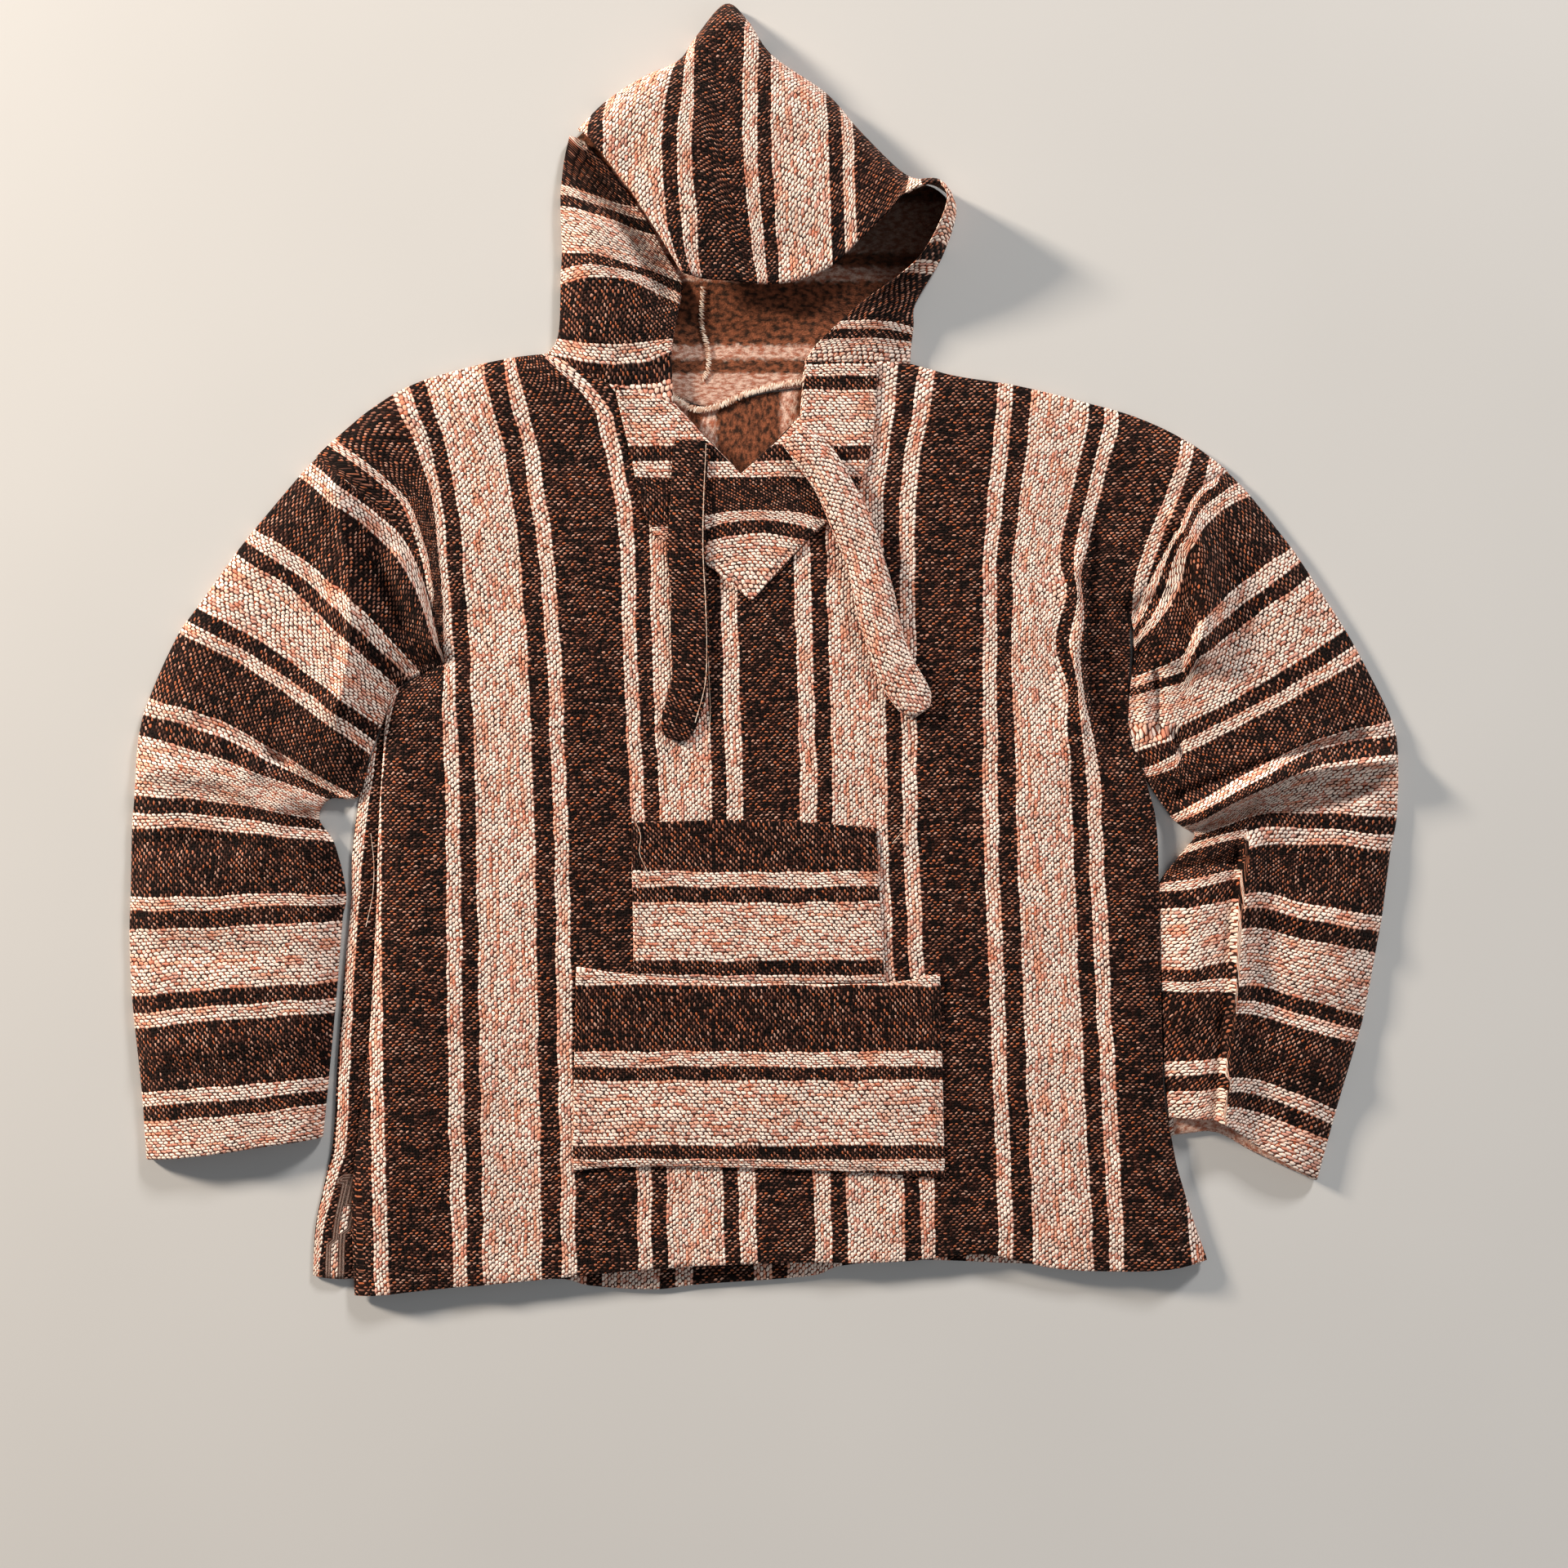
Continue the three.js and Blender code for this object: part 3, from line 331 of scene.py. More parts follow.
@dataclass(frozen=True)
class Crease:
    """A soft ridge or trough along a path, with its own width on each side of the path.

    Attributes:
        rise: height, below 0 for a trough.
        left: half width to the left of the path's direction.
        right: half width to the right of it.
        path: places in plan.
    """

    rise: float
    left: float
    right: float
    path: Line


# Finer creases: height, the two half widths and the path
CREASES = tuple(Crease(*row[:3], row[3:]) for row in (
    # right sleeve, from the armhole to the cuff
    (12.2, 16, 3, (338, 92), (350, 76), (352, 18), (346, 0)),
    (-3.2, 5, 6, (306, 33), (313, 38), (321, 42), (330, 43), (338, 40)),
    (-9.2, 5, 5, (298, 33), (302, 8), (306, -12)),
    (5.1, 9, 9, (318, 22), (326, -8)),
    (-5.3, 4, 4, (320, -20), (319, -66)),
    (4.9, 6, 6, (308, -22), (308, -66)),
    (-6.1, 5, 4, (340, -84), (334, -70)),
    (10.1, 4, 11, (512, -92), (460, -97), (418, -104), (370, -126), (346, -142)),
    (-6.5, 10, 4, (486, -70), (440, -82), (395, -96), (340, -118)),
    (-8.1, 7, 6, (490, -112), (450, -126), (418, -132), (398, -128)),
    (-5.3, 4, 4, (345, -150), (372, -136), (398, -128)),
    (-4.9, 5, 5, (330, -182), (358, -176), (384, -170)),
    (4.9, 15, 1.8, (389, -166), (383, -230), (371, -388)),
    (-6.9, 2.2, 9, (385, -166), (379, -230), (367, -388)),
    (2.4, 12, 12, (478, -230), (420, -214)),
    (-2.7, 12, 10, (470, -300), (400, -270)),
    (2.4, 12, 10, (462, -345), (400, -322)),
    (3.0, 12, 12, (350, -214), (345, -300)),
    # left sleeve
    (8.1, 4.5, 18, (-341, 120), (-334, 60), (-330, 22), (-340, -45)),
    (-4.5, 9, 5, (-352, 110), (-342, 60), (-340, 24), (-350, -30)),
    (6.1, 8, 7, (-300, 70), (-276, 20), (-268, 2)),
    (-4.5, 8, 8, (-318, 60), (-300, 16)),
    (-6.9, 5, 4, (-399, -86), (-370, -106), (-346, -123)),
    (6.5, 5, 10, (-410, -96), (-372, -122), (-362, -130)),
    (-3.2, 9, 8, (-500, -60), (-440, -66), (-395, -92)),
    (3.6, 12, 7, (-505, -100), (-440, -106), (-395, -128)),
    (-3.6, 8, 8, (-512, -160), (-440, -158), (-385, -166)),
    (-2.3, 14, 9, (-515, -250), (-400, -246)),
    (2.4, 13, 8, (-500, -330), (-390, -318)),
    (2.8, 12, 9, (-490, 30), (-440, 2)),
    (-2.4, 10, 8, (-455, 70), (-420, 48)),
    # right armhole on the front
    (6.1, 4, 5, (262, 88), (254, 60), (257, 20), (252, -10), (262, -60)),
    (-5.3, 4, 7, (268, 90), (262, 52), (266, 20), (262, -10), (270, -60)),
    (-3.6, 6, 7, (281, -10), (282, -92)),
    (3.2, 8, 8, (285, 95), (276, 40)),
    # front, hem and chest
    (1.2, 14, 9, (-228, -330), (-236, -510)),
    (1.0, 9, 12, (-276, -200), (-280, -500)),
    (1.0, 12, 10, (-120, -440), (-128, -505)),
    (-0.9, 10, 10, (-60, -440), (-58, -500)),
    (1.1, 11, 11, (60, -440), (66, -498)),
    (-1.2, 12, 12, (170, -440), (180, -490)),
    (1.3, 14, 10, (240, -380), (262, -500)),
    (-1.0, 10, 10, (300, -400), (322, -495)),
    (1.1, 20, 10, (215, 60), (222, -160)),
    (1.1, 12, 16, (-140, 130), (-133, -20)),
    (-0.9, 14, 12, (-215, 150), (-205, 20)),
    (1.2, 12, 14, (-280, 180), (-250, 60)),
    (1.0, 16, 12, (170, 150), (165, 10)),
    (-1.0, 12, 12, (250, 190), (246, 100)),
))

# Edge of the right sleeve's long fold, from the armhole down
RIGHT_LAP = ((389, -165), (383, -230), (371, -388))

# Edge of the hood's flap over the left side, and that side's creases: height, half width and path
FLAP_EDGE = ((-150, 424), (-106, 366), (-66, 302))
LEFT_SIDE_CREASES = (
    (-9.0, 20, FLAP_EDGE),
    (1.6, 8, ((-160, 352), (-92, 322))),
    (-1.8, 7, ((-160, 250), (-80, 226))),
)

# Height that the flap gains along that edge, and its half width
FLAP_BULGE = (6.5, 12)

# Place towards which the outline of the hood's layer underneath is drawn in
HOOD_MIDDLE_PLACE = (-10.0, 340.0)


def mix(a: Array | float, b: Array | float, share: Array | float) -> Array:
    """Value part of the way from a to b."""
    return a + (b - a) * share


def smooth(value: Array | float, low: float = 0.0, high: float = 1.0) -> Array:
    """Smooth step from 0 at low to 1 at high."""
    q = np.clip((np.asarray(value, dtype=float) - low) / (high - low), 0, 1)
    return q * q * (3 - 2 * q)


def bell(gap: Array | float, half: Array | float) -> Array:
    """Round bump, 1 at gap 0 and nearly 0 at twice its half width."""
    return np.exp(-((gap / half) ** 2))


def hermite(a: Array, b: Array, slope_a: Array, slope_b: Array, q: Array,
            span: Array | float = 1.0) -> Array:
    """Curve from a to b with a slope at each end, at share q of a way of length span."""
    q2, q3 = q * q, q * q * q
    start = (2 * q3 - 3 * q2 + 1) * a + (q3 - 2 * q2 + q) * span * slope_a
    return start + (3 * q2 - 2 * q3) * b + (q3 - q2) * span * slope_b


def spline(knots: Array, values: Array, at: Array) -> Array:
    """Smooth curve through values at uneven knots.

    Args:
        knots: rising numbers.
        values: one number, or one row of numbers, for each knot.
        at: places along the knots.

    Returns:
        The values at those places.
    """
    knots, values, at = (np.asarray(part, float) for part in (knots, values, at))
    last = len(knots) - 1
    k = np.clip(np.searchsorted(knots, at) - 1, 0, last - 1)
    low = np.maximum(np.arange(last + 1) - 1, 0)
    high = np.minimum(np.arange(last + 1) + 1, last)
    widths = (knots[high] - knots[low]).reshape(-1, *([1] * (values.ndim - 1)))
    slope = (values[high] - values[low]) / widths
    span = knots[k + 1] - knots[k]
    q = (at - knots[k]) / span
    if values.ndim > 1:
        span, q = span[..., None], q[..., None]
    return hermite(values[k], values[k + 1], slope[k], slope[k + 1], q, span)


def straight(knots: Array, line: Array, at: Array) -> Array:
    """Places on a line of straight stretches."""
    return np.stack([np.interp(at, knots, line[:, k]) for k in (0, 1)], axis=-1)


def cornered(knots: Array, values: Array, corners: Sequence[float], at: Array) -> Array:
    """Smooth curve that keeps its corners at some of the knots."""
    out = np.zeros((len(at), values.shape[1]))
    for start, end in zip(corners, corners[1:]):
        inside, here = ((part >= start - TINY) & (part <= end + TINY) for part in (knots, at))
        if inside.sum() > 2:
            out[here] = spline(knots[inside], values[inside], at[here])
        else:
            out[here] = mix(*values[inside], ((at[here] - start) / (end - start))[:, None])
    return out


def chords(line: Array) -> Array:
    """Distance in plan along a line at each of its places, from its first place."""
    steps = np.hypot(*np.diff(line[:, :2], axis=0).T)
    return np.concatenate([[0.0], np.cumsum(steps)])


def respaced(line: Array, count: int, curve: Callable[..., Array] = spline) -> Array:
    """Evenly spaced places on a line, on a smooth curve through it or straight between its places."""
    knots = chords(line)
    return curve(knots, line, np.linspace(0, knots[-1], count))


def spaced(stops: tuple[float, ...] | Array, length: float, step: float) -> Array:
    """Numbers from the first stop to the last, close together, with every stop among them.

    Args:
        stops: rising numbers.
        length: real length of the whole way from the first stop to the last.
        step: longest real distance between two of the numbers.

    Returns:
        The numbers.
    """
    whole = stops[-1] - stops[0]
    out = [float(stops[0])]
    for a, b in zip(stops, stops[1:]):
        parts = max(1, math.ceil((b - a) / whole * length / step))
        out.extend(a + (b - a) * i / parts for i in range(1, parts + 1))
    return np.array(out)


def gap_and_side(x: Array, y: Array, line: Line) -> tuple[Array, Array]:
    """Distance from places to the nearest stretch of a line, and a number above 0 to its left."""
    best, side = np.full(x.shape, np.inf), np.zeros(x.shape)
    for (ax, ay), (bx, by) in zip(line, line[1:]):
        dx, dy = bx - ax, by - ay
        q = np.clip(((x - ax) * dx + (y - ay) * dy) / (dx * dx + dy * dy), 0, 1)
        gap = np.hypot(x - ax - dx * q, y - ay - dy * q)
        nearer = gap < best
        best = np.where(nearer, gap, best)
        side = np.where(nearer, dx * (y - ay) - dy * (x - ax), side)
    return best, side


def gap_to(x: Array, y: Array, line: Line) -> Array:
    """Distance from places to a line."""
    return gap_and_side(x, y, line)[0]


def armhole(side: str, count: int, up: bool = True) -> Array:
    """Places along an armhole's seam, up from the underarm or down from the shoulder tip."""
    line = ARMHOLE.line(side)
    return spline(np.arange(4.0), line[::-1] if up else line, np.linspace(0, 3, count))


def ripples(x: Array, y: Array, scale: float = 1.0) -> Array:
    """Slow unevenness of lying cloth."""
    total = np.zeros(np.shape(x))
    for length, angle, phase, rise in RIPPLES.rows:
        turn = math.radians(angle)
        way = (x * math.cos(turn) + y * math.sin(turn)) * (2 * math.pi / length)
        total = total + scale * rise * np.sin(way + phase)
    return total


@dataclass
class Relief:
    """Height of the outer face of the garment's upper layer, as in the solids but finer."""

    body_rise: float = 4.6
    body_round: float = 26.0
    sleeve_rise: float = 8.5
    sleeve_round: float = 34.0
    body_half: float = 262.0
    sleeve_from: float = 335.0
    edge_power: float = 2.2
    edge_drop: float = 1.2
    crease_round: float = 11.0
    seam_depth: float = 1.5
    seam_width: float = 3.2
    slope_step: float = 2.0

    def folded_edges(self) -> list[Array]:
        """Lines where the upper layer comes down to the layer underneath."""
        shares, shoulders = FRONT_TOP["share"], FRONT_TOP.line()
        sides = [FRONT_SIDES.line(side) for side in ("left", "right")]
        folds = [sleeve.line(end) for sleeve in (SLEEVE_LEFT, SLEEVE_RIGHT) for end in "ad"]
        return [*sides, *folds, shoulders[shares <= LEFT_SHOULDER_END],
                shoulders[shares >= RIGHT_SHOULDER_START]]

    def top(self, x: Array, y: Array) -> Array:
        """Height of the outer face at some places."""
        to_sleeve = smooth(np.abs(x), self.body_half, self.sleeve_from)
        rise = mix(self.body_rise, self.sleeve_rise, to_sleeve)
        round_ = mix(self.body_round, self.sleeve_round, to_sleeve)
        gap = np.min([gap_to(x, y, line) for line in self.folded_edges()], axis=0)
        full = 1 - (1 - np.minimum(gap / round_, 1)) ** self.edge_power
        for x0, y0, x1, y1, height, half in FOLDS.rows:
            rise = rise + height * bell(gap_to(x, y, ((x0, y0), (x1, y1))), half)
        near_full = 1 - (1 - np.minimum(gap / self.crease_round, 1)) ** 2
        fine = (self.creases(x, y) + ripples(x, y)) * near_full
        return np.maximum(EDGE_TOP + rise * full + fine - self.seam_dip(x, y), EDGE_TOP - self.edge_drop)

    def creases(self, x: Array, y: Array) -> Array:
        """Height that the finer creases add."""
        total = np.zeros(np.shape(x))
        for crease in CREASES:
            near, side = gap_and_side(x, y, crease.path)
            total = total + crease.rise * bell(near, np.where(side > 0, crease.left, crease.right))
        return total

    def seam_dip(self, x: Array, y: Array) -> Array:
        """Depth of the dip along the two armhole seams."""
        near = [gap_to(x, y, armhole(side, 25, up=False)) for side in ("left", "right")]
        return self.seam_depth * bell(np.min(near, axis=0), self.seam_width)

    def wall(self, x: Array, y: Array) -> Array:
        """Upright thickness of a wall of cloth on this slope."""
        step = self.slope_step
        slope_x = (self.top(x + step, y) - self.top(x - step, y)) / (2 * step)
        slope_y = (self.top(x, y + step) - self.top(x, y - step)) / (2 * step)
        return WALL * np.minimum(np.sqrt(1 + slope_x**2 + slope_y**2), STEEP_LIMIT)


def blend_grid(left: Array, right: Array, bottom: Array, top: Array, shares: Array,
               top_from: float) -> Array:
    """Places between two sides, with a bottom and a top line's shapes fading out towards the middle.

    Args:
        left: places up the left side.
        right: as many places up the right side.
        bottom: places along the bottom, one for each share.
        top: places along the top, one for each share.
        shares: shares of the way across.
        top_from: share of the way up where the top line's shape starts.

    Returns:
        Rows of places, from the bottom up.
    """
    climbed = chords(left) / chords(left)[-1]
    near_top = np.maximum((climbed - top_from) / (1 - top_from), 0)[:, None, None]
    near_bottom = (1 - climbed)[:, None, None]
    bent_bottom, bent_top = (line - mix(line[0], line[-1], shares[:, None]) for line in (bottom, top))
    flat = mix(left[:, None], right[:, None], shares[None, :, None])
    return flat + bent_bottom[None] * near_bottom + bent_top[None] * near_top


def border_of(rows: int, columns: int) -> tuple[Array, Array]:
    """Indices round the border of a grid, and of the neighbour further in of each."""
    ring = [(0, i) for i in range(columns - 1)] + [(j, columns - 1) for j in range(rows - 1)]
    ring += [(rows - 1, i) for i in range(columns - 1, 0, -1)] + [(j, 0) for j in range(rows - 1, 0, -1)]
    j, i = np.array(ring).T
    return j * columns + i, j.clip(1, rows - 2) * columns + i.clip(1, columns - 2)


def rounding() -> list[tuple[float, float]]:
    """Share of the way over a rounded rim, and how far it stands out there, for each ring."""
    turns = [math.pi * k / (RINGS + 1) for k in range(1, RINGS + 1)]
    return [((1 - math.cos(turn)) / 2, math.sin(turn)) for turn in turns]


def bands(levels: list[Array]) -> list[Array]:
    """Faces between each closed ring of points and the next."""
    pairs = zip(levels, levels[1:])
    return [np.stack([a, b, np.roll(b, -1), np.roll(a, -1)], axis=-1) for a, b in pairs]


def add_object(name: str, data: bpy.types.ID) -> Piece:
    """Puts a mesh, a lamp or a camera into the scene."""
    made = bpy.data.objects.new(name, data)
    bpy.context.scene.collection.objects.link(made)
    return made


def write_mesh(name: str, points: Array, faces: Array, weave: Array, finish: Array,
               finishes: list[Material]) -> Piece:
    """Makes a closed mesh of four-sided faces, turned outward, with its cloth map.

    Args:
        name: the object's name.
        points: places in millimetres.
        faces: four indices for each face.
        weave: millimetres across and along the stripes, at each point.
        finish: number of its material, for each face.
        finishes: the materials.

    Returns:
        The object, linked to the scene.
    """
    p = points[faces]
    halves = (np.einsum("ij,ij->i", p[:, 0], np.cross(p[:, k], p[:, k + 1])).sum() for k in (1, 2))
    if sum(halves) < 0:
        faces = faces[:, ::-1]
    mesh = bpy.data.meshes.new(name)
    mesh.from_pydata((points * METRES).tolist(), [], faces.tolist())
    for material in finishes:
        mesh.materials.append(material)
    mesh.polygons.foreach_set("material_index", finish.astype(np.int32))
    mesh.polygons.foreach_set("use_smooth", np.ones(len(faces), dtype=bool))
    corners = np.zeros(len(mesh.loops), dtype=np.int32)
    mesh.loops.foreach_get("vertex_index", corners)
    layer = mesh.uv_layers.new(name=CLOTH_MAP)
    layer.data.foreach_set("uv", weave[corners].astype(np.float32).ravel())
    mesh.update()
    return add_object(name, mesh)


@dataclass
class Wall:
    """A wall of cloth over a grid of places, with a rounded rim all round.

    Attributes:
        name: the object's name.
        places: rows of places in plan.
        top: height of the upper face at each.
        low: height of the lower face at each.
        weave: millimetres across and along the stripes at each.
        woven: the face that shows the woven side.
        bulge: how far the rim stands out.
        woven_too: for each place, whether the upper face shows the woven side all the same.
    """

    name: str
    places: Array
    top: Array
    low: Array
    weave: Array
    woven: Face = Face.UPPER
    bulge: float = 0.8
    woven_too: Array | None = None

    def build(self, finishes: list[Material]) -> Piece:
        """Makes the mesh.

        Args:
            finishes: the woven side's material and the other side's.

        Returns:
            The piece.
        """
        rows, columns = self.top.shape
        count = rows * columns
        plan, weave = self.places.reshape(-1, 2), self.weave.reshape(-1, 2)
        ring, inner = border_of(rows, columns)
        rim, rim_weave = self.rim(ring, inner)
        faces_of_wall = [np.column_stack([plan, side.reshape(-1)]) for side in (self.top, self.low)]
        grid = np.arange(count).reshape(rows, columns)
        quads = np.stack([grid[:-1, :-1], grid[:-1, 1:], grid[1:, 1:], grid[1:, :-1]], axis=-1).reshape(-1, 4)
        rings = [2 * count + k * len(ring) + np.arange(len(ring)) for k in range(RINGS)]
        faces = np.concatenate([quads, (quads + count)[:, ::-1], *bands([ring, *rings, count + ring])])
        upper = int(self.woven is Face.LOWER)
        upper_finish = np.full(len(quads), upper)
        if self.woven_too is not None:
            upper_finish = np.where(self.woven_too.reshape(-1)[quads[:, 0]], 0, upper_finish)
        rim_finish = np.zeros(len(ring) * (RINGS + 1), dtype=int)
        finish = np.concatenate([upper_finish, np.full(len(quads), 1 - upper), rim_finish])
        return write_mesh(self.name, np.concatenate([*faces_of_wall, rim]), faces,
                          np.concatenate([weave, weave, rim_weave]), finish, finishes)

    def rim(self, ring: Array, inner: Array) -> tuple[Array, Array]:
        """Rings of points between the upper and the lower face, pushed out to a round.

        Args:
            ring: indices of the border.
            inner: index of the neighbour further in of each.

        Returns:
            The rings' points and cloth map.
        """
        line, line_in = (self.places.reshape(-1, 2)[part] for part in (ring, inner))
        weave, weave_in = (self.weave.reshape(-1, 2)[part] for part in (ring, inner))
        high, deep = (side.reshape(-1)[ring] for side in (self.top, self.low))
        after = np.roll(line, -1, axis=0)
        ahead = after - np.roll(line, 1, axis=0)
        away = np.column_stack([ahead[:, 1], -ahead[:, 0]])
        away /= np.maximum(np.hypot(*away.T), 1e-6)[:, None]
        away *= np.sign((line[:, 0] * after[:, 1] - after[:, 0] * line[:, 1]).sum())
        gaps = np.maximum(np.hypot(*(line - line_in).T), 0.2)[:, None]
        gradient = (weave - weave_in) / gaps
        points, maps = [], []
        for share, out in rounding():
            z = mix(high, deep, share)
            points.append(np.column_stack([line + away * (self.bulge * out), z]))
            maps.append(weave + gradient * ((high - z)[:, None] + self.bulge * out))
        return np.concatenate(points), np.concatenate(maps)


def operator(operation: str, turned: bool = False) -> Callable[..., "Num"]:
    """Method that joins a number with others in a Math node, itself last where turned."""
    def method(self: "Num", *others: "Num | float") -> "Num":
        """Adds the Math node."""
        return self.shader.math(operation, *((*others, self) if turned else (self, *others)))
    return method


class Num:
    """A number that varies over a surface: a node's output with Python's operators."""

    def __init__(self, shader: "Shader", socket: Socket) -> None:
        """Wraps one socket."""
        self.shader, self.socket = shader, socket

    __add__ = __radd__ = operator("ADD")
    __sub__ = operator("SUBTRACT")
    __rsub__ = operator("SUBTRACT", turned=True)
    __mul__ = __rmul__ = operator("MULTIPLY")
    __truediv__ = operator("DIVIDE")
    __mod__ = operator("FLOORED_MODULO")
    __abs__ = operator("ABSOLUTE")
    __gt__ = operator("GREATER_THAN")
    __lt__ = operator("LESS_THAN")
    floor = operator("FLOOR")
    sign = operator("SIGN")
    at_least = operator("MAXIMUM")

    def root(self) -> "Num":
        """Square root, of 0 where this is below 0."""
        return self.shader.math("SQRT", self.at_least(0.0))

    def rising(self, low: float, high: float) -> "Num":
        """Smooth step from 0 at low to 1 at high."""
        sockets = {0: self, 1: low, 2: high, 3: 0.0, 4: 1.0}
        step = self.shader.out("ShaderNodeMapRange", sockets, interpolation_type="SMOOTHSTEP")
        return Num(self.shader, step)


Value = Num | float


class Graph:
    """Adds nodes to a tree."""

    def __init__(self, tree: bpy.types.NodeTree) -> None:
        """Keeps the tree."""
        self.tree = tree

    def node(self, kind: str, sockets: dict | None = None, **settings: object) -> bpy.types.Node:
        """Adds a node.

        Args:
            kind: the node's type.
            sockets: a value, Num or output for each input's name or number.
            settings: its own settings, or a ramp's stops, set before the sockets.

        Returns:
            The node.
        """
        node = self.tree.nodes.new(kind)
        for key, value in settings.items():
            if key == "stops":
                self.set_stops(node.color_ramp, value)
            else:
                setattr(node, key, value)
        for key, value in (sockets or {}).items():
            value = value.socket if isinstance(value, Num) else value
            if isinstance(value, Socket):
                self.tree.links.new(value, node.inputs[key])
            else:
                node.inputs[key].default_value = value
        return node

    def out(self, kind: str, sockets: dict | None = None, which: int | str = 0,
            **settings: object) -> Socket:
        """Adds a node and gives one of its outputs."""
        return self.node(kind, sockets, **settings).outputs[which]

    @staticmethod
    def set_stops(ramp: bpy.types.ColorRamp, stops: Sequence[tuple[float, tuple]]) -> None:
        """Gives a ramp its stops, each a place and a colour."""
        while len(ramp.elements) < len(stops):
            ramp.elements.new(0.5)
        for element, (position, colour) in zip(ramp.elements, stops):
            element.position = position
            element.color = colour


class Shader(Graph):
    """Builds one material's nodes."""

    def __init__(self, name: str) -> None:
        """Starts an empty material."""
        self.material = bpy.data.materials.new(name)
        self.material.use_nodes = True
        super().__init__(self.material.node_tree)
        self.tree.nodes.clear()

    def math(self, operation: str, *values: Value) -> Num:
        """Adds a Math node."""
        return Num(self, self.out("ShaderNodeMath", dict(enumerate(values)), operation=operation))

    def vector(self, x: Value, y: Value, z: Value = 0.0) -> Socket:
        """Three numbers as one vector."""
        return self.out("ShaderNodeCombineXYZ", {0: x, 1: y, 2: z})

    def parts(self, vector: Socket) -> tuple[Num, Num]:
        """The first two numbers of a vector."""
        split = self.node("ShaderNodeSeparateXYZ", {0: vector}).outputs
        return Num(self, split[0]), Num(self, split[1])

    def woven_place(self) -> Socket:
        """Place on the cloth map, in millimetres."""
        return self.out("ShaderNodeUVMap", uv_map=CLOTH_MAP)

    def object_place(self) -> Socket:
        """Place in the object's own frame, in metres."""
        return self.out("ShaderNodeTexCoord", None, "Object")

    def noise(self, vector: Socket, scale: float = 1.0, detail: float = 0.0) -> Num:
        """Smooth noise, about 0.5 on average."""
        return Num(self, self.out("ShaderNodeTexNoise", {"Vector": vector, "Scale": scale, "Detail": detail}))

    def chance(self, vector: Socket) -> Num:
        """Number from 0 to 1 that is different for each vector."""
        return Num(self, self.out("ShaderNodeTexWhiteNoise", {"Vector": vector}, "Value"))

    def blend(self, share: Value, a: object, b: object) -> Socket:
        """Colour between two others."""
        return self.out("ShaderNodeMix", {0: share, 6: a, 7: b}, 2, data_type="RGBA")

    def ramp(self, value: Value, stops: Sequence[tuple[float, tuple]]) -> Socket:
        """Colour from a ramp."""
        return self.out("ShaderNodeValToRGB", {0: value}, stops=stops)

    def dimmed(self, colour: Socket, by: Value) -> Socket:
        """Colour made brighter or darker by a factor."""
        return self.out("ShaderNodeVectorMath", {0: colour, "Scale": by}, operation="SCALE")

    def surface(self, sockets: dict, height: Num | None = None, depth: float = 0.0) -> Material:
        """Ends the material with a principled surface.

        Args:
            sockets: the surface's inputs.
            height: raised pattern, from 0 to 1.
            depth: how deep that pattern is, in metres.

        Returns:
            The material.
        """
        if height is not None:
            bump = self.out("ShaderNodeBump", {"Strength": 1.0, "Distance": depth, "Height": height})
            sockets = {**sockets, "Normal": bump}
        self.node("ShaderNodeOutputMaterial", {0: self.out("ShaderNodeBsdfPrincipled", sockets)})
        return self.material


def srgb(*screen: float) -> tuple[float, ...]:
    """Colour from a screen's three numbers from 0 to 255, made linear."""
    parts = (part / 255 for part in screen)
    return (*(c / 12.92 if c <= 0.04045 else ((c + 0.055) / 1.055) ** 2.4 for c in parts), 1.0)


@dataclass(frozen=True)
class Stripes:
    """The cloth's stripe repeat, in millimetres from the middle of a wide dark stripe."""

    repeat: float = 146.0
    dark_to: float = 25.0
    light_to: float = 37.5
    thin_dark_to: float = 50.0

    def light(self, across: Num, soft: float = 0.0) -> Num:
        """1 in a light stripe and 0 in a dark one.

        Args:
            across: millimetres across the stripes.
            soft: half the width of a blurred border, or 0 for a sharp one.

        Returns:
            The mask.
        """
        half = self.repeat / 2
        off = abs((across + half) % self.repeat - half)
        if soft:
            narrow = off.rising(self.dark_to - soft, self.dark_to + soft)
            narrow = narrow * (1.0 - off.rising(self.light_to - soft, self.light_to + soft))
            return narrow + off.rising(self.thin_dark_to - soft, self.thin_dark_to + soft)
        return (off > self.dark_to) * (off < self.light_to) + (off > self.thin_dark_to)


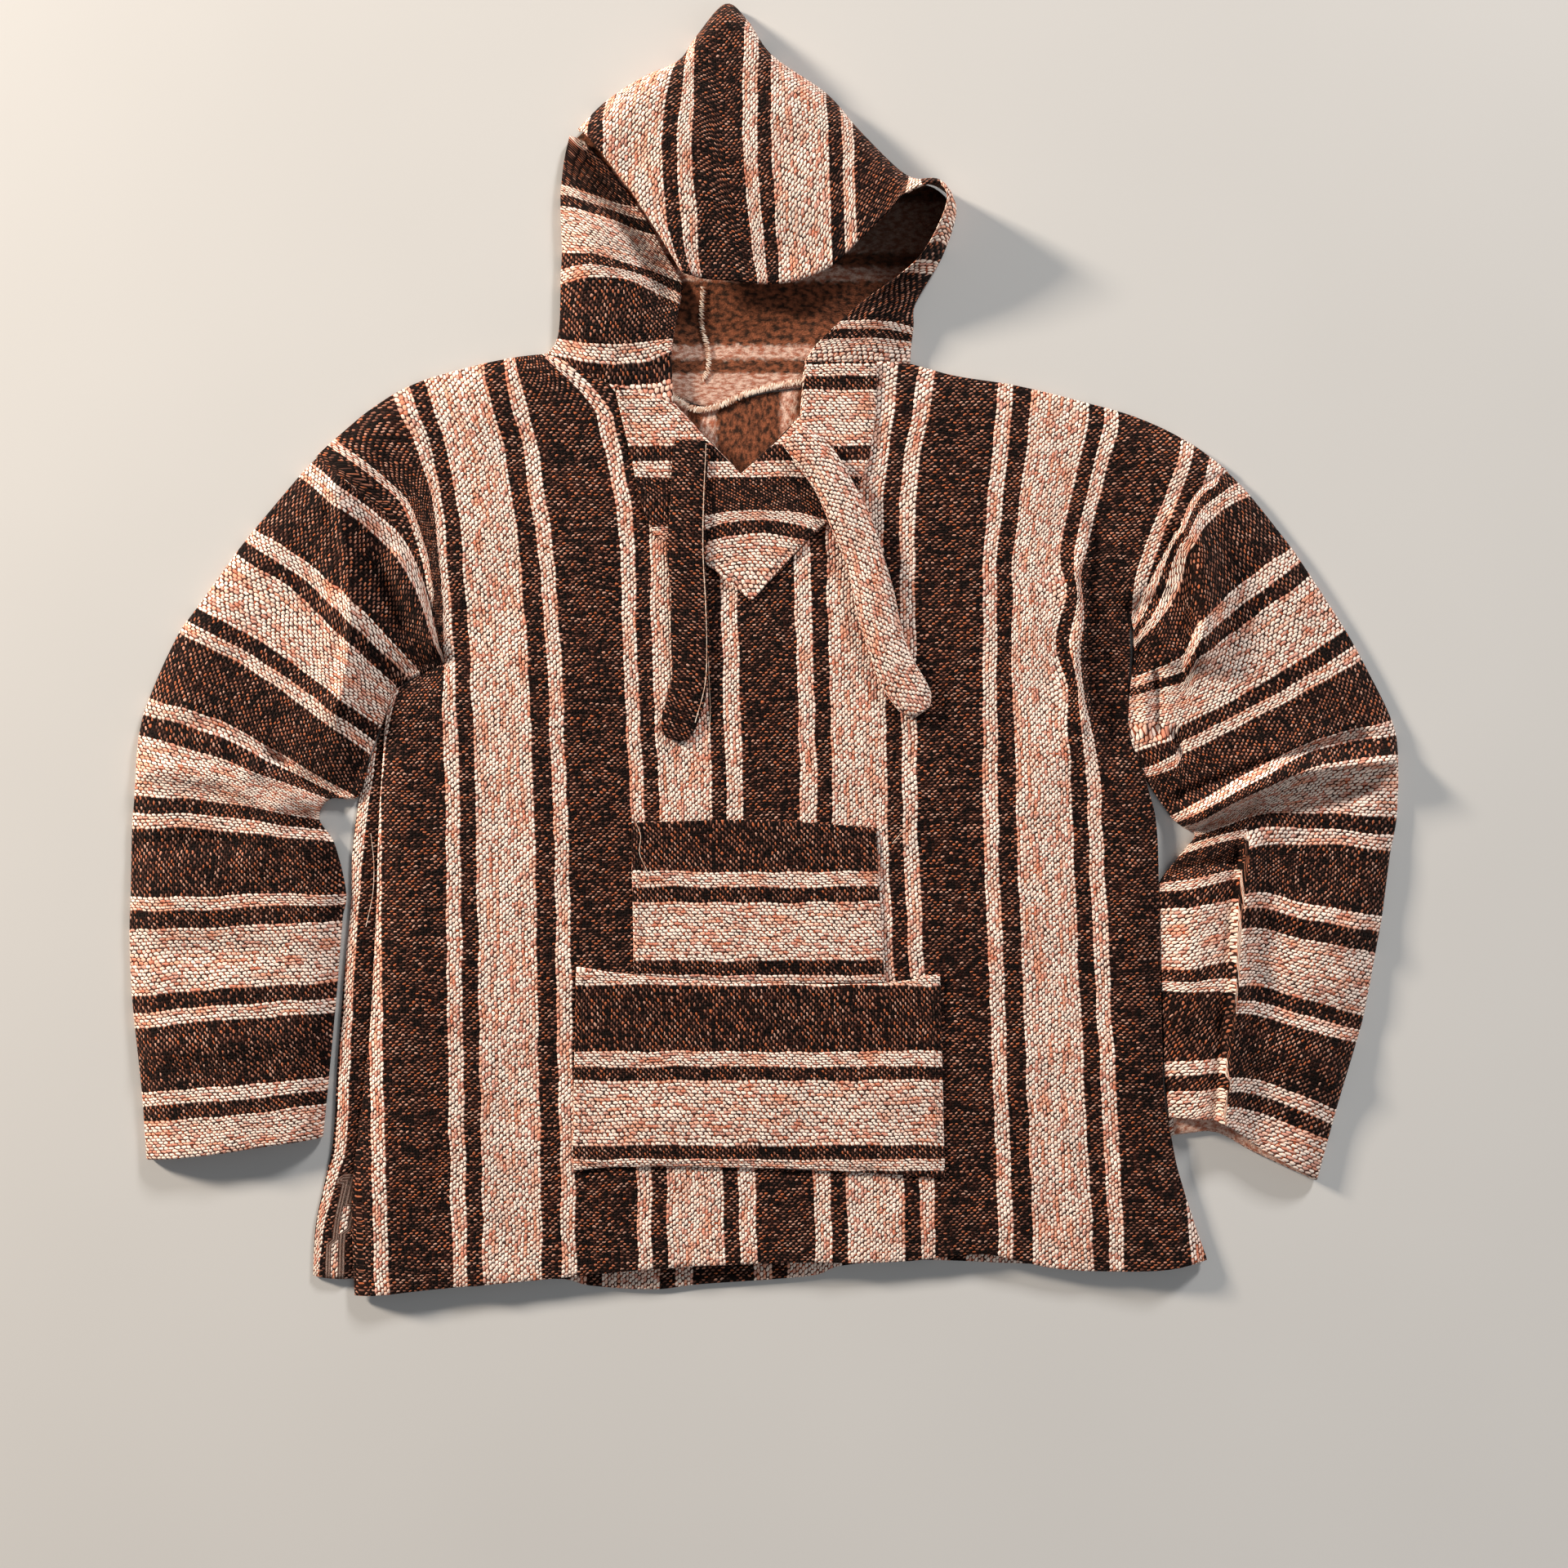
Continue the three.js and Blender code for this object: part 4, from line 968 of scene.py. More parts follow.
@dataclass(frozen=True)
class WovenCloth:
    """Woven side of the cloth: coarse plain weave, warp stripes over a mottled weft.

    Attributes:
        column: width of a column of the warp.
        grain: length of one grain and the gap after it.
        column_wander: noise scale and reach of the columns' slow bends.
        grain_wander: noise scale, reach and seed of the rows' slow bends.
        aside: how far chance moves a grain across its column.
        astray: how far chance moves it along its column.
        grain_size: least size of a grain, and what chance adds to it.
        weft_rise: least height of the weft, and what chance adds to it.
        over_weft: heights of the warp over the weft between which it comes to cover the weft.
        warp_bright: least brightness of a grain, and what chance adds to it.
        shade: painted shade in the weave's gaps and low places: brightness in a gap of a dark stripe, what a
            light one adds, and what the height adds.
        full_height: height from which a yarn is clear of that painted shade and has its full brightness.
        tone: least brightness of a wide patch, and what its noise adds.
        rust_above: chance above which a pale grain is rusty.
        rust_share: how rusty it is.
        stitch_mottle: how much the weft's colour changes from stitch to stitch.
        depth: height of the weave, in metres.
    """

    column: float = 2.4
    grain: float = 4.5
    warp_half_width: float = 1.3
    light_half_length: float = 2.15
    dark_half_length: float = 1.75
    weft_half_width: float = 1.6
    weft_half_height: float = 0.85
    light_weft_height: float = 0.5
    dark_weft_height: float = 0.95
    warp_slant: float = 0.14
    weft_slant: float = 0.2
    column_wander: tuple = ((0.035, 3.0), (0.4, 1.2))
    grain_wander: tuple = ((0.05, 4.0, 7.0), (0.35, 1.6, 3.0))
    aside: float = 0.7
    astray: float = 0.8
    grain_size: tuple[float, float] = (0.84, 0.28)
    weft_rise: tuple[float, float] = (0.66, 0.42)
    over_weft: tuple[float, float] = (-0.03, 0.06)
    warp_bright: tuple[float, float] = (0.84, 0.24)
    shade: tuple[float, float, float] = (0.03, 0.07, 0.98)
    full_height: float = 0.75
    tone: tuple[float, float] = (0.86, 0.28)
    rust_above: float = 0.86
    rust_share: float = 0.7
    stitch_mottle: float = 0.42
    depth: float = 0.0008
    cream: tuple = srgb(252, 229, 212)
    rose: tuple = srgb(235, 166, 136)
    rust: tuple = srgb(192, 106, 80)
    black: tuple = srgb(12, 4, 3)
    brown: tuple = srgb(38, 14, 8)
    dark_weft: tuple = (
        (0.30, srgb(28, 16, 13)),
        (0.42, srgb(104, 66, 54)),
        (0.54, srgb(160, 106, 86)),
        (0.63, srgb(182, 98, 60)),
        (0.74, srgb(196, 148, 128)),
    )
    light_weft: tuple = (
        (0.34, srgb(96, 56, 46)),
        (0.47, srgb(168, 78, 48)),
        (0.60, srgb(204, 100, 62)),
        (0.70, srgb(126, 80, 68)),
    )
    stripes: Stripes = Stripes()

    def make(self, name: str) -> Material:
        """Builds the material.

        Args:
            name: the material's name.

        Returns:
            The material.
        """
        s = Shader(name)
        place = s.woven_place()
        across, along = s.parts(place)
        u, v = across, along
        for scale, reach in self.column_wander:
            u = u + (s.noise(place, scale) - 0.5) * reach
        for scale, reach, seed in self.grain_wander:
            v = v + (s.noise(s.vector(along, across, seed), scale) - 0.5) * reach
        cell = u / self.column
        column = cell.floor()
        x = (cell - column - 0.5) * self.column
        run = v / self.grain + (column % 2.0) * 0.5
        grain = run.floor()
        y = (run - grain - 0.5) * self.grain
        light = self.stripes.light((column + 0.5) * self.column)
        speck = s.chance(s.vector(column, grain, 1.0))
        pick = (v / (self.grain / 2) + 0.5).floor()
        stitch = ((cell + 0.5 - pick % 2.0) / 2.0).floor()
        fleck = s.chance(s.vector(stitch, pick, 4.0))
        warp = self.warp_dome(x, y, light, speck)
        weft_height = self.dark_weft_height - light * (self.dark_weft_height - self.light_weft_height)
        least, more = self.weft_rise
        weft = self.weft_dome(x, y) * weft_height * (least + fleck * more)
        height = warp.at_least(weft)
        yarn = s.blend((warp - weft).rising(*self.over_weft),
                       self.weft_colour(s, light, pick, u, fleck),
                       self.warp_colour(s, light, column, v, speck))
        # Painted shade: the colour is darkened in the weave's gaps and on the low parts of each yarn.
        gap, light_gap, raised = self.shade
        shade = gap + light * light_gap + height.rising(0.0, self.full_height) * raised
        tone = self.tone[0] + s.noise(place, 0.012, 2.0) * self.tone[1]
        return s.surface(
            {"Base Color": s.dimmed(yarn, shade * tone), "Roughness": 0.9, "Specular IOR Level": 0.1,
             "Sheen Weight": 0.04, "Sheen Roughness": 0.5, "Sheen Tint": srgb(255, 226, 205)},
            height + (speck - 0.5) * 0.1,
            self.depth,
        )

    def warp_dome(self, x: Num, y: Num, light: Num, speck: Num) -> Num:
        """Height of a warp grain, 1 at its middle and 0 outside, slanted and uneven in size."""
        least, more = self.grain_size
        length = self.dark_half_length + light * (self.light_half_length - self.dark_half_length)
        a = (x - y * self.warp_slant + (speck - 0.5) * self.aside) / self.warp_half_width
        b = (y + ((speck * 7.0) % 1.0 - 0.5) * self.astray) / (length * (least + speck * more))
        return (1.0 - a * a - b * b).root()

    def weft_dome(self, x: Num, y: Num) -> Num:
        """Height of the weft where it comes up between the warp's grains, in this column or beside it."""
        upright, sideways = y.sign(), x.sign()
        heights = []
        for a, b in ((x, y - upright * (self.grain / 2)), (x - sideways * self.column, y)):
            p, q = a / self.weft_half_width, (b - a * self.weft_slant) / self.weft_half_height
            heights.append((1.0 - p * p - q * q).root())
        return heights[0].at_least(heights[1])

    def warp_colour(self, s: Shader, light: Num, column: Num, v: Num, speck: Num) -> Socket:
        """Colour of the warp: cream with rosy stretches, or nearly black with brown ones."""
        least, more = self.warp_bright
        thread = s.noise(s.vector(column * 0.73, v / 24.0, 1.7), 1.0, 1.0)
        pale = s.blend(thread.rising(0.46, 0.72), self.cream, self.rose)
        pale = s.blend((speck > self.rust_above) * self.rust_share, pale, self.rust)
        deep = s.blend(thread.rising(0.45, 0.72), self.black, self.brown)
        return s.dimmed(s.blend(light, deep, pale), least + speck * more)

    def weft_colour(self, s: Shader, light: Num, pick: Num, u: Num, fleck: Num) -> Socket:
        """Colour of the weft, which changes slowly along each thread and from stitch to stitch."""
        slub = s.noise(s.vector(pick * 0.61, u / 19.0, 5.3), 1.0, 1.5) + (fleck - 0.5) * self.stitch_mottle
        return s.blend(light, s.ramp(slub, self.dark_weft), s.ramp(slub, self.light_weft))


@dataclass(frozen=True)
class BrushedCloth:
    """Inner side of the cloth, brushed to a nap: the same stripes, blurred and darker.

    Attributes:
        blur: half the width of a stripe's blurred border.
        stray: how far the borders wander.
        depth: height of the nap, in metres.
        tunnel: middle of the hood's deep hollow, in metres, where a shade is painted into the colour.
        tunnel_size: its half width and half height.
        tunnel_shade: share of the colour's brightness that this painted shade takes away.
        nap: least brightness, and what the nap adds.
        tufts: values of the tufts' noise between which the colour changes.
    """

    blur: float = 2.2
    stray: float = 9.0
    depth: float = 0.0012
    tunnel: tuple[float, float] = (0.112, 0.345)
    tunnel_size: tuple[float, float] = (0.062, 0.05)
    tunnel_shade: float = 0.82
    nap: tuple[float, float] = (0.22, 1.3)
    tufts: tuple[float, float] = (0.34, 0.66)
    cream: tuple = srgb(240, 204, 184)
    rose: tuple = srgb(176, 104, 78)
    black: tuple = srgb(30, 13, 9)
    rust: tuple = srgb(148, 84, 56)
    stripes: Stripes = Stripes()

    def make(self, name: str) -> Material:
        """Builds the material."""
        s = Shader(name)
        place = s.woven_place()
        across, along = s.parts(place)
        stray = (s.noise(place, 0.16, 3.0) - 0.5) * self.stray
        light = self.stripes.light(across + stray, self.blur)
        nap = s.noise(s.vector(across * 1.3, along * 0.6, 2.0), 1.0, 3.0)
        tuft = s.noise(s.vector(across * 0.3, along * 0.17, 9.0), 1.0, 8.0)
        pale = s.blend(tuft.rising(*self.tufts), self.cream, self.rose)
        deep = s.blend(tuft.rising(*self.tufts), self.black, self.rust)
        # Painted shade: the colour is darkened round the hood's deep hollow, by place in the object.
        off_x, off_y = ((part - middle) / size for part, middle, size
                        in zip(s.parts(s.object_place()), self.tunnel, self.tunnel_size))
        painted_shade = 1.0 - (off_x * off_x + off_y * off_y).root().rising(0.45, 1.35)
        bright = (self.nap[0] + nap * self.nap[1]) * (1.0 - painted_shade * self.tunnel_shade)
        return s.surface(
            {"Base Color": s.dimmed(s.blend(light, deep, pale), bright), "Roughness": 0.97,
             "Specular IOR Level": 0.08, "Sheen Weight": 0.15, "Sheen Roughness": 0.7,
             "Sheen Tint": srgb(255, 205, 170)},
            nap * 0.8 + tuft * 0.2,
            self.depth,
        )


@dataclass(frozen=True)
class Thread:
    """Sewing thread in one colour, with a little unevenness."""

    colour: tuple[float, ...]
    other: tuple[float, ...]

    def make(self, name: str) -> Material:
        """Builds the material."""
        s = Shader(name)
        patch = s.noise(s.object_place(), 260.0, 1.0)
        colour = s.blend(patch.rising(0.42, 0.6), self.colour, self.other)
        return s.surface({"Base Color": colour, "Roughness": 0.7, "Specular IOR Level": 0.3})


@dataclass(frozen=True)
class Ground:
    """Plain pale floor."""

    colour: tuple = srgb(196, 195, 192)
    other: tuple = srgb(203, 202, 199)

    def make(self, name: str) -> Material:
        """Builds the material."""
        s = Shader(name)
        colour = s.blend(s.noise(s.object_place(), 3.0, 2.0), self.colour, self.other)
        return s.surface({"Base Color": colour, "Roughness": 0.85, "Specular IOR Level": 0.2})


@dataclass
class Finishes:
    """The garment's materials, made once: the cloth's woven and brushed side, and two threads."""

    cloth: list[Material]
    pale_thread: Material
    dark_thread: Material

    @classmethod
    def make(cls) -> "Finishes":
        """Builds them all."""
        return cls(
            cloth=[WovenCloth().make("woven_side"), BrushedCloth().make("brushed_side")],
            pale_thread=Thread(srgb(236, 218, 200), srgb(196, 158, 134)).make("pale_thread"),
            dark_thread=Thread(srgb(46, 30, 24), srgb(80, 56, 44)).make("dark_thread"),
        )


def dress(piece: Piece, slot: str, *nodes: str) -> Piece:
    """Puts a piece on the body in place of its solids.

    Args:
        piece: the piece.
        slot: name of its material slot, which is not used.
        nodes: the solids that it stands for.

    Returns:
        The piece.
    """
    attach(piece, BODY)
    if nodes:
        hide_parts(*nodes)
    LOG.info("%s: %d faces", piece.name, len(piece.data.polygons))
    return piece


def stripe_map(x: Array, y: Array, table: Table, borders: tuple[float, ...]) -> Array:
    """Stripe coordinate of places on a panel whose stripes run up and down.

    Args:
        x: places.
        y: places.
        table: x of each border at some heights y.
        borders: stripe coordinate of each border.

    Returns:
        The stripe coordinate at each place.
    """
    lines = np.stack([spline(table["y"], table[f"b{k}"], y) for k in range(len(borders))], axis=-1)
    u = np.array(borders)
    k = np.clip((lines <= x[..., None]).sum(axis=-1) - 1, 0, len(borders) - 2)
    low, high = (np.take_along_axis(lines, k[..., None] + step, axis=-1)[..., 0] for step in (0, 1))
    inside = mix(u[k], u[k + 1], (x - low) / (high - low))
    before, after = (u[end] + (x - lines[..., end]) for end in (0, -1))
    return np.where(x < lines[..., 0], before, np.where(x > lines[..., -1], after, inside))


def beside_armhole(x: Array, y: Array, u: Array) -> Array:
    """Narrows the light stripe beside the right armhole where the cloth is pushed together."""
    off = u - FRONT_BORDERS[8]
    pushed = bell(y - 50, 17) + bell(y + 32, 22)
    return u + 1.1 * pushed * off * bell(off, 17)


@dataclass
class Maker:
    """Makes walls of cloth over the garment's relief, in its finishes."""

    relief: Relief
    finishes: Finishes

    def wall(self, name: str, places: Array, top: Array, low: Array, across: Array, along: Array,
             **more: object) -> Piece:
        """Makes a wall of cloth with this cloth map."""
        weave = np.stack([across, along], axis=-1)
        return Wall(name, places, top, low, weave, **more).build(self.finishes.cloth)


@dataclass
class Body(Maker):
    """Front and back panels."""

    step: float = 4.4
    top_from: float = 0.73
    front_rise: float = 560.0
    back_rise: float = 520.0
    top_length: float = 690.0
    hem_length: float = 700.0
    back_inset: float = 1.2
    reverse_from: float = 40.0
    strip_raise: float = 2.4
    strip_x: tuple[float, float] = (-353.0, -340.0)
    strip_y: tuple[float, float] = (-510.0, -438.0)
    strip_half: float = 5.0
    strip_top: float = -432.0
    strip_u: float = 31.25
    widest_u: float = -341.0

    def side(self, side: str) -> Array:
        """Places up one side of the front, from the hem over the underarm to the shoulder tip."""
        parts = int(self.front_rise / self.step)
        both = (chords(FRONT_SIDES.line("left")) + chords(FRONT_SIDES.line("right"))) / 2
        up = spline(both, FRONT_SIDES.line(side), np.linspace(0, both[-1], parts))
        if side == "right":
            beside = smooth(up[:, 1], -425, -395) * (1 - smooth(up[:, 1], 0, 24))
            nearer = smooth(up[:, 1], -125, -100) * (1 - smooth(up[:, 1], -8, 14))
            up[:, 0] += 1.6 * beside + 2.2 * nearer
        return np.concatenate([up, armhole(side, parts // 3)[1:]])

    def front(self) -> Piece:
        """Makes the front panel, with the slit at the neck."""
        shares = spaced(FRONT_TOP_CORNERS, self.top_length, self.step)
        bottom = spline(FRONT_HEM["share"], FRONT_HEM.line(), shares)
        top_line = cornered(FRONT_TOP["share"], FRONT_TOP.line(), FRONT_TOP_CORNERS, shares)
        places = blend_grid(self.side("left"), self.side("right"), bottom, top_line, shares, self.top_from)
        x, y = places[..., 0], places[..., 1]
        top = self.relief.top(x, y)
        low = np.maximum(top - self.relief.wall(x, y), UNDER_TOP)
        u = beside_armhole(x, y, stripe_map(x, y, FRONT_STRIPES, FRONT_BORDERS))
        u = np.where(u < self.widest_u, 2 * self.widest_u - u, u)
        return self.wall("front_cloth", places, top, low, u, y)

    def back(self) -> Piece:
        """Makes the back panel, flat underneath, its left edge wrapped round to show from above."""
        parts = int(self.back_rise / self.step)
        seam = FRONT_SIDES.line("left")
        edges = BACK_LEFT.line()[::-1], FRONT_SIDES.line("right") - [self.back_inset, 0]
        left, right = (np.concatenate([respaced(edge, parts), armhole(side, parts // 4)[1:]])
                       for edge, side in zip(edges, ("left", "right")))
        top_rows = self.back_top()
        shares = spaced(BACK_HEM["share"], self.hem_length, self.step * 1.3)
        bottom = spline(BACK_HEM["share"], BACK_HEM.line(), shares)
        top_line = straight(chords(top_rows) / chords(top_rows)[-1], top_rows, shares)
        places = blend_grid(left, right, bottom, top_line, shares, self.top_from)
        x, y = places[..., 0], places[..., 1]
        outside = x < np.interp(y, seam[:, 1], seam[:, 0])
        strip = smooth(gap_to(x, y, seam), 3.0, 9.0) * smooth(gap_to(x, y, BACK_LEFT.line()), 0.0, 9.0)
        top = WALL + self.strip_raise * strip * outside
        off = x - np.interp(y, self.strip_y, self.strip_x)
        in_strip = (np.abs(off) < self.strip_half) & (y < self.strip_top)
        u = np.where(in_strip, self.strip_u + off, stripe_map(x, y, BACK_STRIPES, BACK_BORDERS))
        return self.wall("back_cloth", places, top, np.zeros_like(top), u, y, woven=Face.LOWER,
                         bulge=0.5, woven_too=y < self.reverse_from)

    def back_top(self) -> Array:
        """Top line of the back panel: shoulder, neck seam and shoulder."""
        shares, lowered = FRONT_TOP["share"], FRONT_TOP.line() - [0, self.back_inset]
        left = lowered[(shares > 0) & (shares < LEFT_SHOULDER_END)]
        right = lowered[(shares > RIGHT_SHOULDER_START) & (shares < 1)]
        first, last = (ARMHOLE.line(side)[:1] for side in ("left", "right"))
        return np.concatenate([first, left, BACK_NECK.line(), right, last])


def left_shift(x: Array, y: Array, down: Array, share: Array) -> Array:
    """Shift of the left sleeve's stripes where the cloth is folded over."""
    kink = smooth(x, -352, -338) * smooth(y, -60, 0) * (1 - smooth(y, 95, 130))
    return 3.0 * kink


def right_shift(x: Array, y: Array, down: Array, share: Array) -> Array:
    """Shift of the right sleeve's stripes beside its folds, where part of the cloth is hidden.

    Args:
        x: places.
        y: places.
        down: distance from the armhole.
        share: share of the way from the outer to the inner fold.

    Returns:
        Millimetres to add to the stripe coordinate.
    """
    beside_ridge = (1 - smooth(x, 338, 350)) * smooth(y, -56, -12) * (1 - smooth(y, 32, 86))
    wedge = bell(down, 12) * smooth(share, 0.05, 0.2) * (1 - smooth(share, 0.72, 0.95))
    near, side = gap_and_side(x, y, RIGHT_LAP)
    drop = mix(8.0, 13.0, smooth(y, -330, -190)) * (y > -400) * (1 - smooth(y, -165, -140))
    jump = np.where(side > 0, -np.exp(-near / 34), 0.8 * np.exp(-near / 30)) * drop
    small = -9.0 * (1 - smooth(x, 334, 341)) * smooth(y, -115, -95) * (1 - smooth(y, -75, -60))
    return jump - 19.0 * beside_ridge - 9.0 * wedge + small


@dataclass
class Sleeve(Maker):
    """One sleeve: a single flattened tube, open at the armhole and the cuff.

    Attributes:
        name: the piece's name.
        table: its sections.
        armhole_u: stripe coordinate at the armhole, with its sign turned.
        shift: how far its stripes are moved beside folds.
        reach: how far its inner fold swells towards the body, by distance down.
        cuff_short: how much shorter the upper layer is at the outer and inner end of the cuff.
        cuff_from: distance above the cuff from which that counts.
        tuck: plan distance from the folded edge to the flat of the wall.
        inner: plan distance from the folded edge to the hollow.
        inner_tuck: how much more it is at the fold's own height.
    """

    name: str
    table: Table
    armhole_u: float
    shift: Callable[[Array, Array, Array, Array], Array]
    reach: Table
    cuff_short: tuple[float, float] = (0.0, 0.0)
    cuff_from: float = 60.0
    step: float = 3.4
    across: int = 64
    under_parts: int = 18
    fold_parts: int = 6
    tuck: float = 2.4
    inner: float = 4.6
    inner_tuck: float = 2.0
    bulge: float = 0.8

    def loop(self) -> tuple[Array, Array, Array]:
        """Round of a section: share across, share of the fold's inset, and level from under to upper."""
        turn = np.linspace(0, math.pi, self.fold_parts + 1)
        upper = np.linspace(0, 1, self.across + 1)[1:-1]
        under = np.linspace(1, 0, self.under_parts + 1)[1:-1]
        inset, level = 1 - np.sin(turn), (1 - np.cos(turn)) / 2
        share = np.concatenate([np.zeros_like(turn), upper, np.ones_like(turn), under])
        insets = np.concatenate([inset, np.ones_like(upper), inset[::-1], np.ones_like(under)])
        levels = np.concatenate([level, np.ones_like(upper), level[::-1], np.zeros_like(under)])
        return share, insets, levels

    def line_at(self, down: Array, share: Array) -> Array:
        """Places on the cross lines of a sleeve."""
        ends = np.stack([spline(self.table["down"], self.table.line(c), down) for c in "abcd"])
        flat = ends.reshape(4, -1, 2)
        q = np.clip(share.reshape(-1) * 3, 0, 3)
        k = np.minimum(q.astype(int), 2)
        index = np.arange(flat.shape[1])
        before, after = np.maximum(k - 1, 0), np.minimum(k + 2, 3)
        a, b = flat[k, index], flat[k + 1, index]
        slope_a = (b - flat[before, index]) / (k + 1 - before)[:, None]
        slope_b = (flat[after, index] - a) / (after - k)[:, None]
        return hermite(a, b, slope_a, slope_b, (q - k)[:, None]).reshape(*share.shape, 2)

    def build(self) -> Piece:
        """Makes the tube."""
        last = self.table["down"][-1]
        down = np.linspace(0, last, int(last / self.step) + 1)
        share, inset, level = self.loop()
        shape = len(down), len(share)
        share_grid = np.broadcast_to(share, shape)
        down_grid = np.broadcast_to(down[:, None], shape).copy()
        near_cuff = smooth(down_grid, last - self.cuff_from, last)
        down_grid -= mix(*self.cuff_short, share_grid) * smooth(level[None], 0.35, 0.75) * near_cuff
        start, end = (self.line_at(down_grid, np.full(shape, side)) for side in (0.0, 1.0))
        width = np.hypot(*np.moveaxis(end - start, -1, 0))
        near_body = np.interp(down_grid, self.reach["down"], self.reach["out"])
        near_body = near_body * smooth(share_grid, 0.84, 1.0)
        swell = (end - start) / width[..., None] * near_body[..., None]
        outer, across = self.layer(self.tuck * inset, width, share_grid, down_grid, swell)
        inner, _ = self.layer(self.inner + self.inner_tuck * inset, width, share_grid, down_grid, swell)
        x, y = outer
        outer_z = mix(0.0, self.relief.top(x, y), level[None])
        shift = self.shift(x, y, down_grid, share_grid) * smooth(level[None], 0.5, 1.0)
        weave = np.stack([down_grid - self.armhole_u + shift, across * width], axis=-1)
        roof = np.maximum(self.relief.top(*inner) - self.relief.wall(*inner), UNDER_TOP + 0.3)
        layers = [np.dstack([x, y, outer_z]), np.dstack([*inner, mix(WALL, roof, level[None])])]
        return self.mesh(*layers, weave)

    def layer(self, gap: Array, width: Array, share: Array, down: Array,
              swell: Array) -> tuple[Array, Array]:
        """Places of the outer or inner face in plan, and their shares of the way across.

        Args:
            gap: distance of the face from the folded edges.
            width: width of the sleeve.
            share: share of the way across, counted on the cloth.
            down: distance from the armhole.
            swell: how far the inner fold is moved towards the body.

        Returns:
            The places, with x first, and the shares.
        """
        across = mix(gap / width, 1 - gap / width, share)
        return np.moveaxis(self.line_at(down, across) + swell, -1, 0), across

    def mesh(self, outer: Array, inner: Array, weave: Array) -> Piece:
        """Joins the outer and inner faces and rounds the two open ends.

        Args:
            outer: points of the outer face.
            inner: points of the inner face.
            weave: cloth map of a face.

        Returns:
            The piece.
        """
        rows, around = outer.shape[:2]
        count = rows * around
        grid = np.arange(count).reshape(rows, around)
        step = np.roll(grid, -1, axis=1)
        quads = np.stack([grid[:-1], grid[1:], step[1:], step[:-1]], axis=-1).reshape(-1, 4)
        points = [outer.reshape(-1, 3), inner.reshape(-1, 3)]
        maps = [weave.reshape(-1, 2), weave.reshape(-1, 2)]
        faces = [quads, (quads + count)[:, ::-1]]
        start = 2 * count
        for end, beside, along in ((0, 1, -WALL), (rows - 1, rows - 2, WALL)):
            way = outer[end] - outer[beside]
            way[:, 2] = 0
            way /= np.maximum(np.hypot(way[:, 0], way[:, 1]), 1e-6)[:, None]
            levels = [grid[end]]
            for share, out in rounding():
                points.append(mix(outer[end], inner[end], share) + way * self.bulge * out)
                maps.append(weave[end] + [along * share, 0])
                levels.append(start + np.arange(around))
                start += around
            for band in bands([*levels, grid[end] + count]):
                faces.append(band if along > 0 else band[:, ::-1])
        all_faces = np.concatenate(faces)
        finish = np.zeros(len(all_faces), dtype=int)
        finish[len(quads):2 * len(quads)] = 1
        return write_mesh(self.name, np.concatenate(points), all_faces, np.concatenate(maps), finish,
                          self.finishes.cloth)


